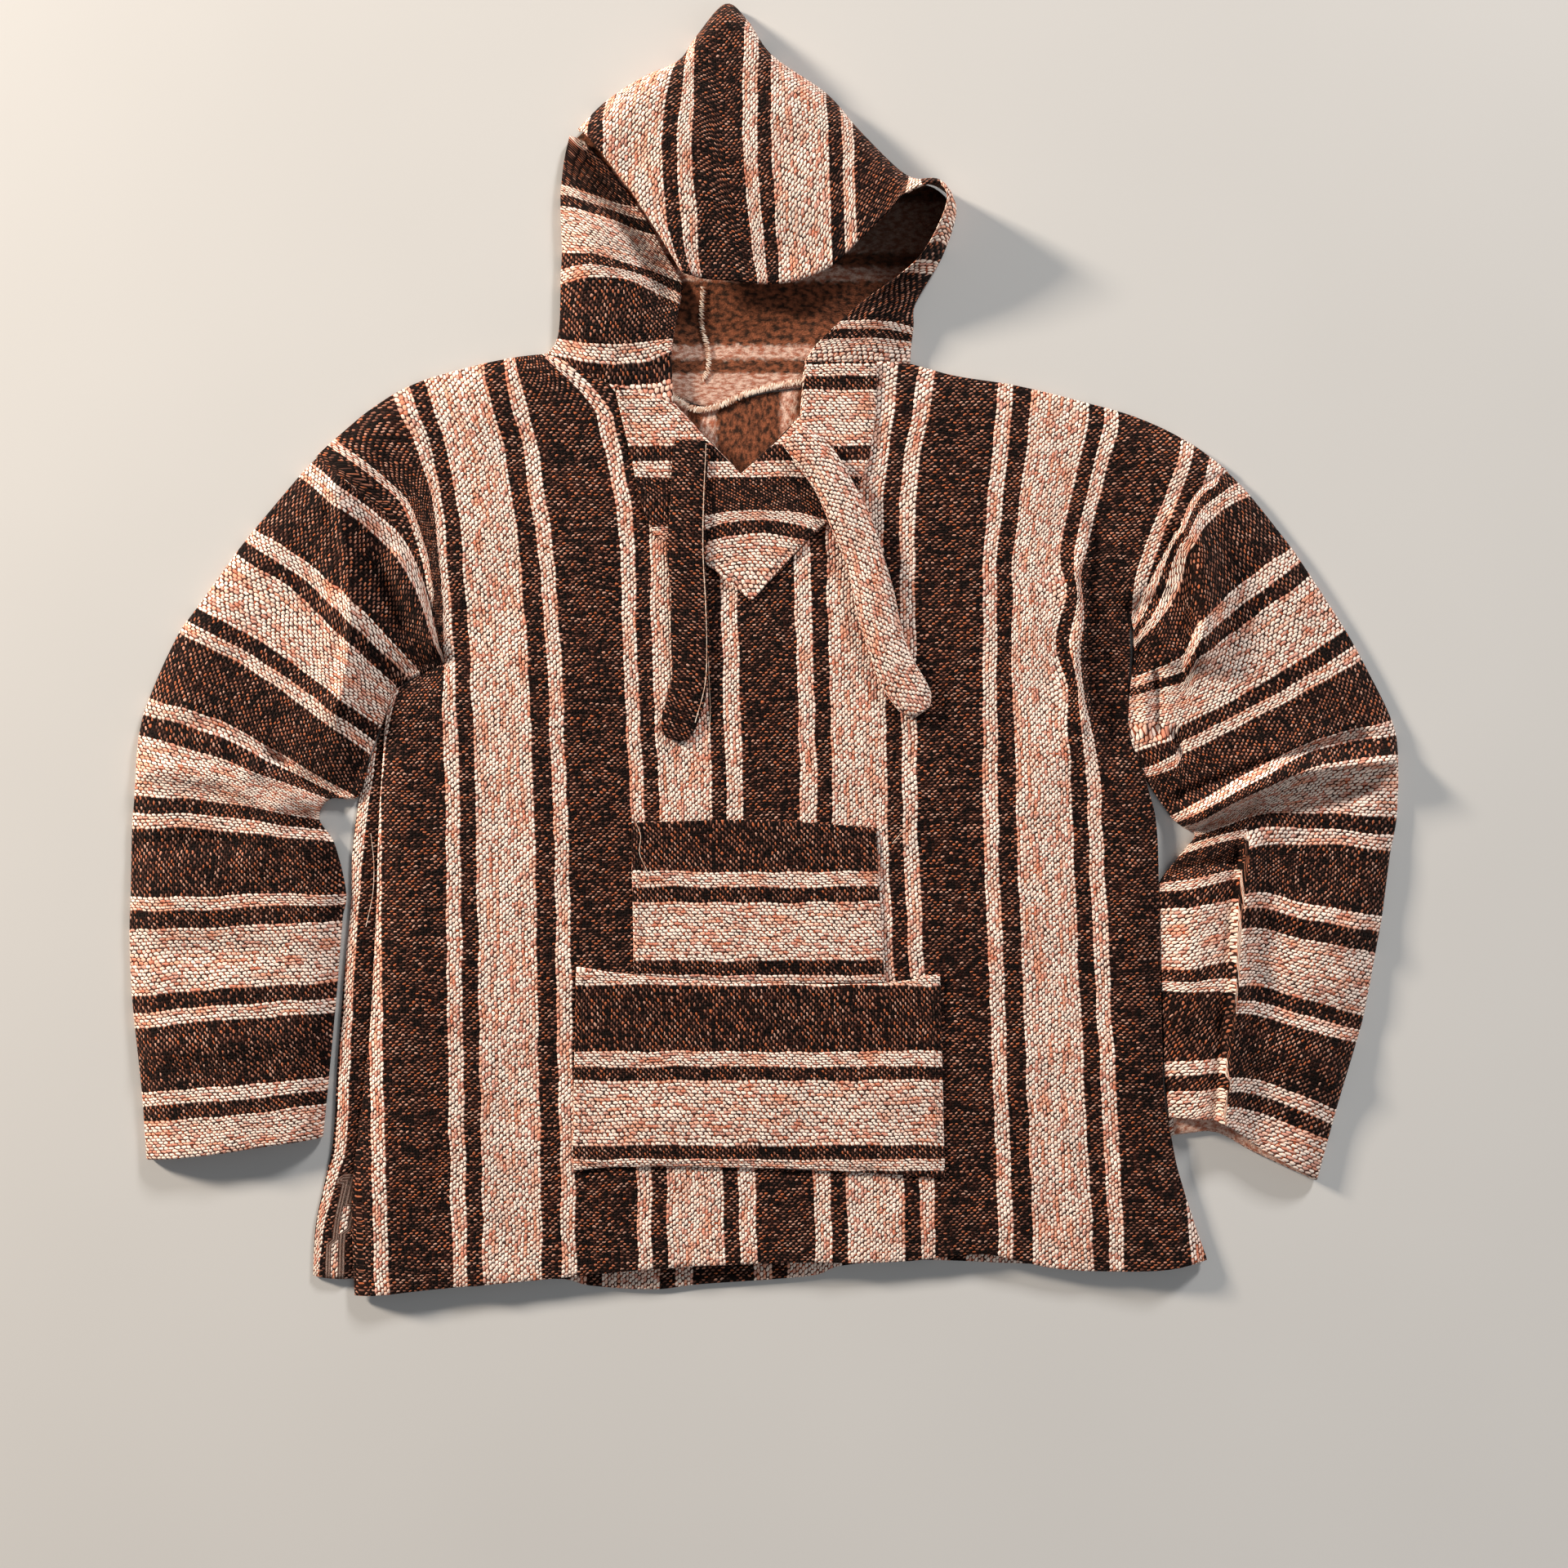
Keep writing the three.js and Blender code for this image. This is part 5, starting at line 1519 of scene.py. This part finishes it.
@dataclass
class Hood(Maker):
    """Hood: the layer underneath, the flap with the right side, and the left side."""

    edge_top: float = 6.4
    round_: float = 34.0
    round_power: float = 2.2
    mid_share: float = 0.5
    step: float = 4.2
    across: int = 44
    crowding: float = 1.25
    hem_width: float = 7.0
    hem_rise: float = 0.9
    hem_drop: float = 1.1
    wave_scale: float = 1.4
    wave_rise: float = 1.5
    under_inset: float = 3.4
    under_up: int = 90
    under_across: int = 72
    seam_gap: float = 0.45

    @staticmethod
    def over_left(x: Array, y: Array) -> Array:
        """Height that the flap gains along its edge over the left side."""
        rise, half = FLAP_BULGE
        return rise * bell(gap_to(x, y, FLAP_EDGE), half)

    @staticmethod
    def under_flap(x: Array, y: Array) -> Array:
        """Depth of the left side beside the flap's edge, and of its other creases."""
        low = 0.0
        for rise, half, path in LEFT_SIDE_CREASES:
            low = low + rise * bell(gap_to(x, y, path), half)
        return low

    def side(self, name: str, table: Table, shift: tuple[float, float], edge: Height) -> Piece:
        """Makes the flap or the left side.

        Args:
            name: the piece's name.
            table: its sections, from the edge of the face opening to the outline.
            shift: how far it is moved to keep clear at its seam.
            edge: height added where the flap lies over the left side.

        Returns:
            The piece.
        """
        stations = [0.0]
        outline, lip = table.line("out"), table.line("in")
        for k in range(len(outline) - 1):
            longest = max(math.dist(line[k], line[k + 1]) for line in (outline, lip))
            parts = max(2, math.ceil(longest / self.step))
            stations.extend(k + i / parts for i in range(1, parts + 1))
        knots = np.arange(len(table.rows))
        value = {c: spline(knots, table[c], np.array(stations))[:, None] for c in table.names}
        share = 1 - (1 - np.linspace(0, 1, self.across + 1)[None]) ** self.crowding
        x, y, u = (self.through(value, what, share) for what in "XYU")
        length = sum(np.hypot(value[f"{a}X"] - value[f"{b}X"], value[f"{a}Y"] - value[f"{b}Y"])
                     for a, b in (("out", "mid"), ("mid", "in")))
        z = self.height(value, share, length)
        from_lip = share * length
        slope = np.gradient(z, axis=1) / np.maximum(np.gradient(from_lip, axis=1), 1e-3)
        wall = WALL * np.minimum(np.sqrt(1 + slope**2), STEEP_LIMIT)
        hem = bell(from_lip, self.hem_width) * smooth(value["inZ"], 11, 15)
        waves = ripples(x * self.wave_scale, y * self.wave_scale, self.wave_rise)
        waves = waves * smooth(share, 0, 0.15) * (1 - smooth(share, 0.7, 1.0))
        top = z + waves * smooth(z, 8, 16) + hem * self.hem_rise + edge(x, y) * smooth(z, 7, 12)
        top = np.maximum(top, np.minimum(z, UNDER_TOP + 1.6))
        low = np.maximum(top - wall - hem * self.hem_drop, UNDER_TOP)
        low[:, -1] = np.minimum(low[:, -1], 0.6)
        places = np.stack([x + shift[0], y + shift[1]], axis=-1)
        return self.wall(name, places, top, low, u, from_lip)

    @staticmethod
    def through(value: dict[str, Array], what: str, q: Array) -> Array:
        """Smooth course of one of the table's values across the rows."""
        a, b, c = value[f"in{what}"], value[f"mid{what}"], value[f"out{what}"]
        bent = a * (1 - q) * (1 - 2 * q) + 4 * b * q * (1 - q) + c * q * (2 * q - 1)
        plain = np.where(q < 0.5, mix(a, b, q * 2), mix(b, c, q * 2 - 1))
        return mix(plain, bent, 0.5)

    def height(self, value: dict[str, Array], share: Array, length: Array) -> Array:
        """Height of the outer face across the rows."""
        flat = mix(value["inZ"], value["midZ"], smooth(share / self.mid_share))
        gap = np.minimum((1 - share) * length / np.minimum(self.round_, length), 1)
        edge = np.minimum(self.edge_top, flat)
        return edge + (flat - edge) * (1 - (1 - gap) ** self.round_power)

    def under(self) -> Piece:
        """Makes the layer underneath, which shows its brushed side through the face opening."""
        outline = HOOD_CROWN.line("out")
        left = np.concatenate([HOOD_LEFT.line("out"), outline[:HOOD_RIGHT_FROM]])
        sides = []
        for line in (left, outline[HOOD_RIGHT_FROM:][::-1]):
            way = np.array(HOOD_MIDDLE_PLACE) - line
            pulled = line + way / np.hypot(*way.T)[:, None] * self.under_inset
            pulled[0] = line[0]
            sides.append(respaced(pulled, self.under_up))
        neck = BACK_NECK.line()
        shares = np.linspace(0, 1, self.under_across)
        bottom = spline(chords(neck) / chords(neck)[-1], neck, shares) + [0, self.seam_gap]
        top_line = mix(sides[0][-1], sides[1][-1], shares[:, None])
        places = blend_grid(*sides, bottom, top_line, shares, 0.2)
        x, y = places[..., 0], places[..., 1]
        u = np.interp(y, HOOD_INSIDE_STRIPES["y"], HOOD_INSIDE_STRIPES["u"])
        top = WALL + ripples(x, y, 0.5).clip(0, 1)
        return self.wall("hood_under_cloth", places, top, np.zeros_like(top), u, x, woven=Face.LOWER,
                         bulge=0.5)


@dataclass
class NeckTrim(Maker):
    """Patch round the slit and the two ties."""

    step: float = 3.0
    top_length: float = 240.0
    top_from: float = 0.2
    arch: float = 8.0
    arch_half: float = 47.0
    arch_top: float = 130.0
    patch_middle: float = -4.0
    thick_left: float = 4.2
    thick_right: float = 8.0
    end_round: float = 13.0
    end_slimmer: float = 0.8
    tie_along: int = 96
    tie_across: int = 19
    groove_depth: float = 0.5
    groove_at: float = 0.35
    groove_half: float = 0.12

    def patch(self) -> Piece:
        """Makes the shield-shaped patch."""
        sides = []
        for side in ("left", "right"):
            line = PATCH_SIDES.line(side)[::-1]
            knots = chords(line)
            corners = (knots[0], knots[2], knots[-1])
            sides.append(cornered(knots, line, corners, spaced(corners, knots[-1], self.step)))
        left, right = (respaced(line, min(map(len, sides)), straight) for line in sides)
        shares = spaced(PATCH_TOP_CORNERS, self.top_length, self.step)
        bottom = mix(left[0], right[0], shares[:, None])
        top_line = cornered(PATCH_TOP["share"], PATCH_TOP.line(), PATCH_TOP_CORNERS, shares)
        places = blend_grid(left, right, bottom, top_line, shares, self.top_from)
        x, y = places[..., 0], places[..., 1]
        arched = (1 - ((x - self.patch_middle) / self.arch_half) ** 2).clip(-1, 1) * (y < self.arch_top)
        fading = smooth(self.arch_top - y, 0, 30) * smooth(y, 38, 72)
        u = np.interp(y - self.arch * arched * fading, PATCH_STRIPES["y"], PATCH_STRIPES["u"])
        low = self.relief.top(x, y) + LAYER_GAP
        return self.wall("neck_patch_cloth", places, low + PATCH_WALL, low, u, x)

    def tie(self, name: str, table: Table, thick: float, u_middle: float) -> Piece:
        """Makes one tie, a folded strip that lies on the front.

        Args:
            name: the piece's name.
            table: its middle line, width and height over the front.
            thick: its thickness.
            u_middle: stripe coordinate at its middle.

        Returns:
            The piece.
        """
        knots = np.arange(float(len(table.rows)))
        at = np.linspace(0, knots[-1], self.tie_along)
        middle = spline(knots, table.line(), at)
        way = np.gradient(middle, axis=0)
        way /= np.hypot(*way.T)[:, None]
        side = np.column_stack([-way[:, 1], way[:, 0]])
        along = chords(middle)
        from_end = np.clip((along[-1] - along) / self.end_round, 0, 1)
        ended = np.sqrt(1 - self.end_slimmer * (1 - from_end) ** 2)
        width = (spline(knots, table["width"], at) * (1 + 0.05 * np.sin(along / 11.0)) * ended)[:, None]
        q = np.linspace(-1, 1, self.tie_across)
        q = np.sign(q) * np.abs(q) ** 0.8
        places = middle[:, None] + side[:, None] * (width / 2 * q)[..., None]
        x, y = places[..., 0], places[..., 1]
        base = self.relief.top(x, y) + spline(knots, table["over"], at)[:, None]
        belly = np.sqrt(np.maximum(1 - q**2, 0.12))[None]
        twist = 0.5 * np.sin(along[:, None] / 23.0 + q[None] * 1.2)
        groove = self.groove_depth * bell(q[None] - self.groove_at, self.groove_half)
        low = base + thick / 4 * (1 - belly)
        top = base + thick * (0.45 + 0.55 * belly) + twist * belly - groove
        u = u_middle + q[None] * width / 2
        return self.wall(name, places, top, low, u, np.broadcast_to(along[:, None], u.shape), bulge=1.1)


@dataclass
class Pouch(Maker):
    """Panel above the pouch and the pouch itself."""

    step: float = 3.2
    pillow: float = 1.1
    unevenness: float = 0.5
    stripe_wander: float = 0.8

    def panel(self, name: str, table: Table, stripes: Table) -> Piece:
        """Makes one of the two panels.

        Args:
            name: the piece's name.
            table: its top and bottom lines.
            stripes: stripe coordinate by height.

        Returns:
            The piece.
        """
        wide, tall = np.ptp(table["topX"]), np.ptp([table["topY"], table["bottomY"]])
        shares, up = (np.linspace(0, 1, int(length / self.step)) for length in (wide, tall))
        bottom, top_line = (spline(table["share"], table.line(which), shares) for which in ("bottom", "top"))
        places = mix(bottom[None], top_line[None], up[:, None, None])
        x, y = places[..., 0], places[..., 1]
        swell = np.sin(math.pi * shares)[None] ** 0.6 * np.sin(math.pi * up)[:, None] ** 0.5
        low = self.relief.top(x, y) + LAYER_GAP
        top = low + PATCH_WALL + self.pillow * swell + self.unevenness * ripples(x * 2, y * 2)
        u = np.interp(y, stripes["y"], stripes["u"]) + self.stripe_wander * ripples(x, y)
        return self.wall(name, places, top, low, u, x, bulge=0.9)


class Recipe(Graph):
    """Geometry nodes with named inputs, run once over a base mesh of lines."""

    def __init__(self, name: str, material: Material, inputs: dict[str, float | int]) -> None:
        """Starts the group.

        Args:
            name: the group's name.
            material: the thread.
            inputs: default of each input by name.
        """
        super().__init__(bpy.data.node_groups.new(name, "GeometryNodeTree"))
        self.name, self.material = name, material
        face = self.tree.interface
        face.new_socket("Geometry", in_out="INPUT", socket_type="NodeSocketGeometry")
        self.identifiers = {}
        for key, value in inputs.items():
            kind = "NodeSocketInt" if isinstance(value, int) else "NodeSocketFloat"
            socket = face.new_socket(key, in_out="INPUT", socket_type=kind)
            socket.default_value = value
            self.identifiers[key] = socket.identifier
        face.new_socket("Geometry", in_out="OUTPUT", socket_type="NodeSocketGeometry")
        self.given = self.node("NodeGroupInput").outputs
        curve = self.out("GeometryNodeMeshToCurve", {0: self.given["Geometry"]})
        even = {"Curve": curve, "Length": self.given["Spacing"]}
        self.even_curve = self.out("GeometryNodeResampleCurve", even, mode="LENGTH")

    def close(self, geometry: Socket) -> "Recipe":
        """Ends the group: instances made real and given their material."""
        real = self.out("GeometryNodeRealizeInstances", {0: geometry})
        dressed = self.out("GeometryNodeSetMaterial", {"Geometry": real, "Material": self.material})
        self.node("NodeGroupOutput", {0: dressed})
        return self

    def run(self, name: str, base: Piece, values: dict[str, float | int]) -> Piece:
        """Runs the group on a base object, which is used up.

        Args:
            name: the new piece's name.
            base: the object with the paths.
            values: inputs that differ from their defaults.

        Returns:
            The piece, a plain mesh.
        """
        modifier = base.modifiers.new(self.name, "NODES")
        modifier.node_group = self.tree
        for key, value in values.items():
            modifier[self.identifiers[key]] = value
        made = base.evaluated_get(bpy.context.evaluated_depsgraph_get())
        mesh = bpy.data.meshes.new_from_object(made)
        mesh.name = name
        bpy.data.objects.remove(base)
        return add_object(name, mesh)


def stitch_recipe(name: str, material: Material) -> Recipe:
    """Short rounded stitches along paths.

    Args:
        name: the group's name.
        material: the thread.

    Returns:
        The recipe.
    """
    r = Recipe(name, material, {"Spacing": 0.006, "Length": 0.004, "Thickness": 0.0005, "Slant": 0.0,
                                "Jitter": 0.16, "Seed": 1})
    tangent = {"Vector": r.out("GeometryNodeInputTangent")}
    aligned = r.out("FunctionNodeAlignRotationToVector", tangent, axis="X")
    chance = {2: -1.0, 3: 1.0, "Seed": r.given["Seed"]}
    swing = r.out("FunctionNodeRandomValue", chance, 1, data_type="FLOAT")
    jitter = r.out("ShaderNodeMath", {0: swing, 1: r.given["Jitter"]}, operation="MULTIPLY")
    turn = r.out("ShaderNodeMath", {0: r.given["Slant"], 1: jitter}, operation="ADD")
    spin = r.out("FunctionNodeEulerToRotation", {0: r.out("ShaderNodeCombineXYZ", {2: turn})})
    slanted = r.out("FunctionNodeRotateRotation", {0: aligned, 1: spin}, rotation_space="GLOBAL")
    ball = r.out("GeometryNodeMeshIcoSphere", {"Radius": 0.5, "Subdivisions": 2})
    thick = r.given["Thickness"]
    placing = {
        "Points": r.even_curve,
        "Instance": r.out("GeometryNodeSetShadeSmooth", {0: ball}),
        "Rotation": slanted,
        "Scale": r.out("ShaderNodeCombineXYZ", {0: r.given["Length"], 1: thick, 2: thick}),
    }
    return r.close(r.out("GeometryNodeInstanceOnPoints", placing))


def cord_recipe(name: str, material: Material) -> Recipe:
    """Round thread along paths."""
    r = Recipe(name, material, {"Radius": 0.0003, "Spacing": 0.0025})
    ring = r.out("GeometryNodeCurvePrimitiveCircle", {"Resolution": 6, "Radius": r.given["Radius"]})
    sweep = {"Curve": r.even_curve, "Profile Curve": ring, "Fill Caps": True}
    return r.close(r.out("GeometryNodeSetShadeSmooth", {0: r.out("GeometryNodeCurveToMesh", sweep)}))


@dataclass(frozen=True)
class Seam:
    """A line of sewing.

    Attributes:
        path: places in plan.
        over: height over the cloth underneath.
        spacing: distance between stitches.
        length: length of a stitch.
        thick: thickness of the thread.
        slant: turn of each stitch away from the line, in radians.
        jitter: most that a stitch's turn differs from the slant.
    """

    path: Line
    over: float
    spacing: float = 5.2
    length: float = 3.6
    thick: float = 0.55
    slant: float = 0.0
    jitter: float = 0.16


# Serged edge of the hood's layer underneath and its seam up the middle
HOOD_EDGE = Seam(
    ((-78, 209), (-58, 196.5), (-40, 198), (-14, 209), (13, 216), (33, 219)),
    over=4.5, spacing=1.3, length=6.4, thick=1.25, slant=1.2, jitter=0.5,
)
HOOD_MIDDLE = Seam(
    ((-50, 296), (-51, 265), (-46, 245), (-46, 228), (-50, 221)),
    over=4.0, spacing=1.6, length=5.4, thick=1.1, slant=1.2, jitter=0.5,
)

# Top stitching on the patch, the pouch and the hem
PATCH_ROWS = (
    Seam(((-116, 209), (-103, 158), (-94, 119), (-85, 97), (-48, 76), (-11, 46), (38, 100), (68, 124),
          (80, 158), (85, 196), (86, 229)), over=2.75),
)
POCKET_ROWS = (
    Seam(((-147, -264), (-150, -418), (-10, -416), (141, -424), (137, -269)), over=3.0),
    Seam(((-103, -146), (-101, -256)), over=2.9),
    Seam(((86, -150), (92, -262)), over=2.9),
)
HEM_ROWS = (
    Seam(((-318, -506), (-252, -502), (-165, -494), (-91, -487), (12, -482), (110, -481), (177, -475),
          (240, -487), (312, -488), (345, -484)), over=0.12, spacing=7.5, length=3.4, thick=0.5),
    Seam(((-318, -506), (-324, -472), (-323, -436)), over=0.12),
)

# Thin threads that lie loose, with the height over the front
LOOSE_THREADS = (
    ((-46, 20, 1.2), (-45, -20, 0.9), (-44, -56, 0.8), (-47, -84, 0.6)),
    ((-104, -141, 3.6), (-100, -152, 3.9), (-101, -166, 3.7), (-95, -180, 3.6), (-93, -190, 3.4)),
    ((-320, -150, 1.2), (-318, -176, 1.0), (-319, -200, 0.9), (-324, -226, 1.1)),
    ((120, -143, 3.2), (112, -149, 3.6), (104, -158, 3.5)),
)

# Pale thread down the right edge of the dark tie
TIE_EDGE = (
    ((-47, 166, 5.9), (-49, 118, 5.9), (-49.5, 78, 5.9), (-47.5, 38, 5.1), (-46.5, -3, 3.8),
     (-48, -30, 3.6), (-56, -60, 3.5)),
)


@dataclass
class Sewing:
    """Stitches, serging and loose threads."""

    step: float = 2.0
    thread_parts: int = 24

    @staticmethod
    def path_object(name: str, lines: list[Array]) -> Piece:
        """Makes a mesh of open lines, given in millimetres with their heights."""
        points, edges = [], []
        for line in lines:
            start = len(points)
            points.extend((line * METRES).tolist())
            edges.extend((start + k, start + k + 1) for k in range(len(line) - 1))
        mesh = bpy.data.meshes.new(name)
        mesh.from_pydata(points, edges, [])
        return add_object(name, mesh)

    def draped(self, seam: Seam, height: Height, soft: bool) -> Array:
        """Places along a seam, at the cloth's height.

        Args:
            seam: the seam.
            height: height of the cloth underneath.
            soft: bends through the seam's places instead of turning at them.

        Returns:
            Places with heights.
        """
        line = np.array(seam.path, float)
        plan = respaced(line, int(chords(line)[-1] / self.step) + 2, spline if soft else straight)
        return np.column_stack([plan, height(*plan.T) + seam.over])

    def rows(self, name: str, seams: tuple[Seam, ...], height: Height, recipe: Recipe, seed: int,
             soft: bool = False) -> Piece:
        """Makes the stitches of some seams, in the sizes of the first."""
        base = self.path_object(name, [self.draped(seam, height, soft) for seam in seams])
        seam = seams[0]
        sizes = {"Spacing": seam.spacing, "Length": seam.length, "Thickness": seam.thick}
        values = {key: size * METRES for key, size in sizes.items()}
        return recipe.run(name, base, {**values, "Slant": seam.slant, "Jitter": seam.jitter, "Seed": seed})

    def threads(self, name: str, paths: tuple, radius: float, relief: Relief,
                recipe: Recipe) -> Piece:
        """Makes threads that lie on the front, their heights given over it."""
        lines = [respaced(np.array(path, float), self.thread_parts) for path in paths]
        for line in lines:
            line[:, 2] += relief.top(line[:, 0], line[:, 1])
        return recipe.run(name, self.path_object(name, lines), {"Radius": radius * METRES})


def no_height(x: Array, y: Array) -> Array:
    """Height 0, for sewing on the layer underneath."""
    return np.zeros(np.shape(x))


@dataclass
class Studio:
    """Pale floor, soft light and the camera over the garment. Its numbers are metres and watts."""

    floor_half: float = 4.0
    floor_z: float = -0.0005
    middle: tuple[float, float] = (0.0161, -0.1099)
    height: float = 1.25
    lens: float = 35.0
    sensor: float = 36.0
    world_colour: tuple[float, ...] = (0.92, 0.95, 1.0, 1.0)
    world_strength: float = 0.16

    def floor(self) -> None:
        """Makes the floor, which isn't part of the garment."""
        half = self.floor_half
        mesh = bpy.data.meshes.new("floor")
        corners = [(-half, -half), (half, -half), (half, half), (-half, half)]
        mesh.from_pydata([(x, y, self.floor_z) for x, y in corners], [], [(0, 1, 2, 3)])
        mesh.materials.append(Ground().make("pale_floor"))
        add_object("floor", mesh)

    def lamp(self, name: str, place: tuple[float, float, float], power: float, size: float,
             colour: tuple[float, float, float]) -> None:
        """Adds a square soft light that faces the garment."""
        data = bpy.data.lights.new(name, "AREA")
        data.energy, data.size, data.color = power, size, colour
        lamp = add_object(name, data)
        lamp.location = place
        x, y, z = np.array(place) - [*self.middle, 0.0]
        lamp.rotation_mode = "XYZ"
        lamp.rotation_euler = (math.atan2(math.hypot(x, y), z), 0.0, math.atan2(x, -y))

    def light(self) -> None:
        """Adds the lights."""
        self.lamp("warm", (-3.7, 2.1, 1.4), 385.0, 0.6, (1.0, 0.87, 0.74))
        self.lamp("cool", (2.4, 4.2, 2.0), 250.0, 0.8, (1.0, 0.98, 0.97))
        self.lamp("fill", (1.2, -1.2, 1.9), 9.0, 1.6, (0.95, 0.97, 1.0))
        world = bpy.data.worlds.new("studio")
        world.use_nodes = True
        background = world.node_tree.nodes["Background"]
        background.inputs[0].default_value = self.world_colour
        background.inputs[1].default_value = self.world_strength
        bpy.context.scene.world = world
        bpy.context.scene.view_settings.view_transform = "Standard"

    def camera(self) -> None:
        """Adds the camera, straight over the garment."""
        data = bpy.data.cameras.new("camera")
        data.lens, data.sensor_width = self.lens, self.sensor
        camera = add_object("camera", data)
        camera.location = (*self.middle, self.height)
        bpy.context.scene.camera = camera


def main() -> None:
    """Builds the garment and its studio."""
    logging.basicConfig(level=logging.INFO, format="%(name)s %(message)s")
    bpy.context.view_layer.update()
    studio = Studio()
    studio.camera()
    studio.light()
    studio.floor()
    relief = Relief()
    finishes = Finishes.make()

    body = Body(relief, finishes)
    front = dress(body.front(), "woven_cloth", "front")
    back = dress(body.back(), "woven_cloth", "back")

    for node, *sizes in (
        ("sleeve_left", SLEEVE_LEFT, 44.0, left_shift, REACH_LEFT),
        ("sleeve_right", SLEEVE_RIGHT, 50.0, right_shift, REACH_RIGHT, (1.0, 15.0)),
    ):
        sleeve = Sleeve(relief, finishes, f"{node}_cloth", *sizes)
        piece = dress(sleeve.build(), "woven_cloth", node)

    hood = Hood(relief, finishes)
    under = dress(hood.under(), "woven_cloth", "hood_under")
    crown = hood.side("hood_crown_cloth", HOOD_CROWN, (0.3, hood.seam_gap), hood.over_left)
    side = hood.side("hood_left_cloth", HOOD_LEFT, (-0.6, hood.seam_gap), hood.under_flap)
    dress(crown, "woven_cloth", "hood_crown")
    dress(side, "woven_cloth", "hood_side_left")

    trim = NeckTrim(relief, finishes)
    patch = dress(trim.patch(), "woven_cloth", "neck_patch")
    tie_left = trim.tie("tie_left_cloth", TIE_LEFT, trim.thick_left, 0.0)
    tie_right = trim.tie("tie_right_cloth", TIE_RIGHT, trim.thick_right, 73.0)
    dress(tie_left, "dark_cloth", "tie_left")
    dress(tie_right, "light_cloth", "tie_right")

    pouch = Pouch(relief, finishes)
    upper = pouch.panel("pocket_upper_cloth", POCKET_UPPER, UPPER_STRIPES)
    lower = pouch.panel("pocket_lower_cloth", POCKET_LOWER, LOWER_STRIPES)
    dress(upper, "woven_cloth", "pocket_upper")
    dress(lower, "woven_cloth", "pocket_lower")

    sewing = Sewing()
    pale = stitch_recipe("pale_stitches", finishes.pale_thread)
    dark = stitch_recipe("dark_stitches", finishes.dark_thread)
    for name, seams, height, recipe, seed, soft in (
        ("hood_edge_serging", (HOOD_EDGE,), no_height, pale, 11, True),
        ("hood_middle_serging", (HOOD_MIDDLE,), no_height, pale, 12, True),
        ("patch_stitches", PATCH_ROWS, relief.top, dark, 13, False),
        ("pouch_stitches", POCKET_ROWS, relief.top, dark, 14, False),
        ("hem_stitches", HEM_ROWS, relief.top, dark, 15, False),
    ):
        dress(sewing.rows(name, seams, height, recipe, seed, soft), "woven_cloth")
    thread = cord_recipe("threads", finishes.pale_thread)
    for name, paths, radius in (("loose_threads", LOOSE_THREADS, 0.24), ("tie_edge_thread", TIE_EDGE, 0.32)):
        dress(sewing.threads(name, paths, radius, relief, thread), "woven_cloth")


if __name__ == "__main__":
    main()
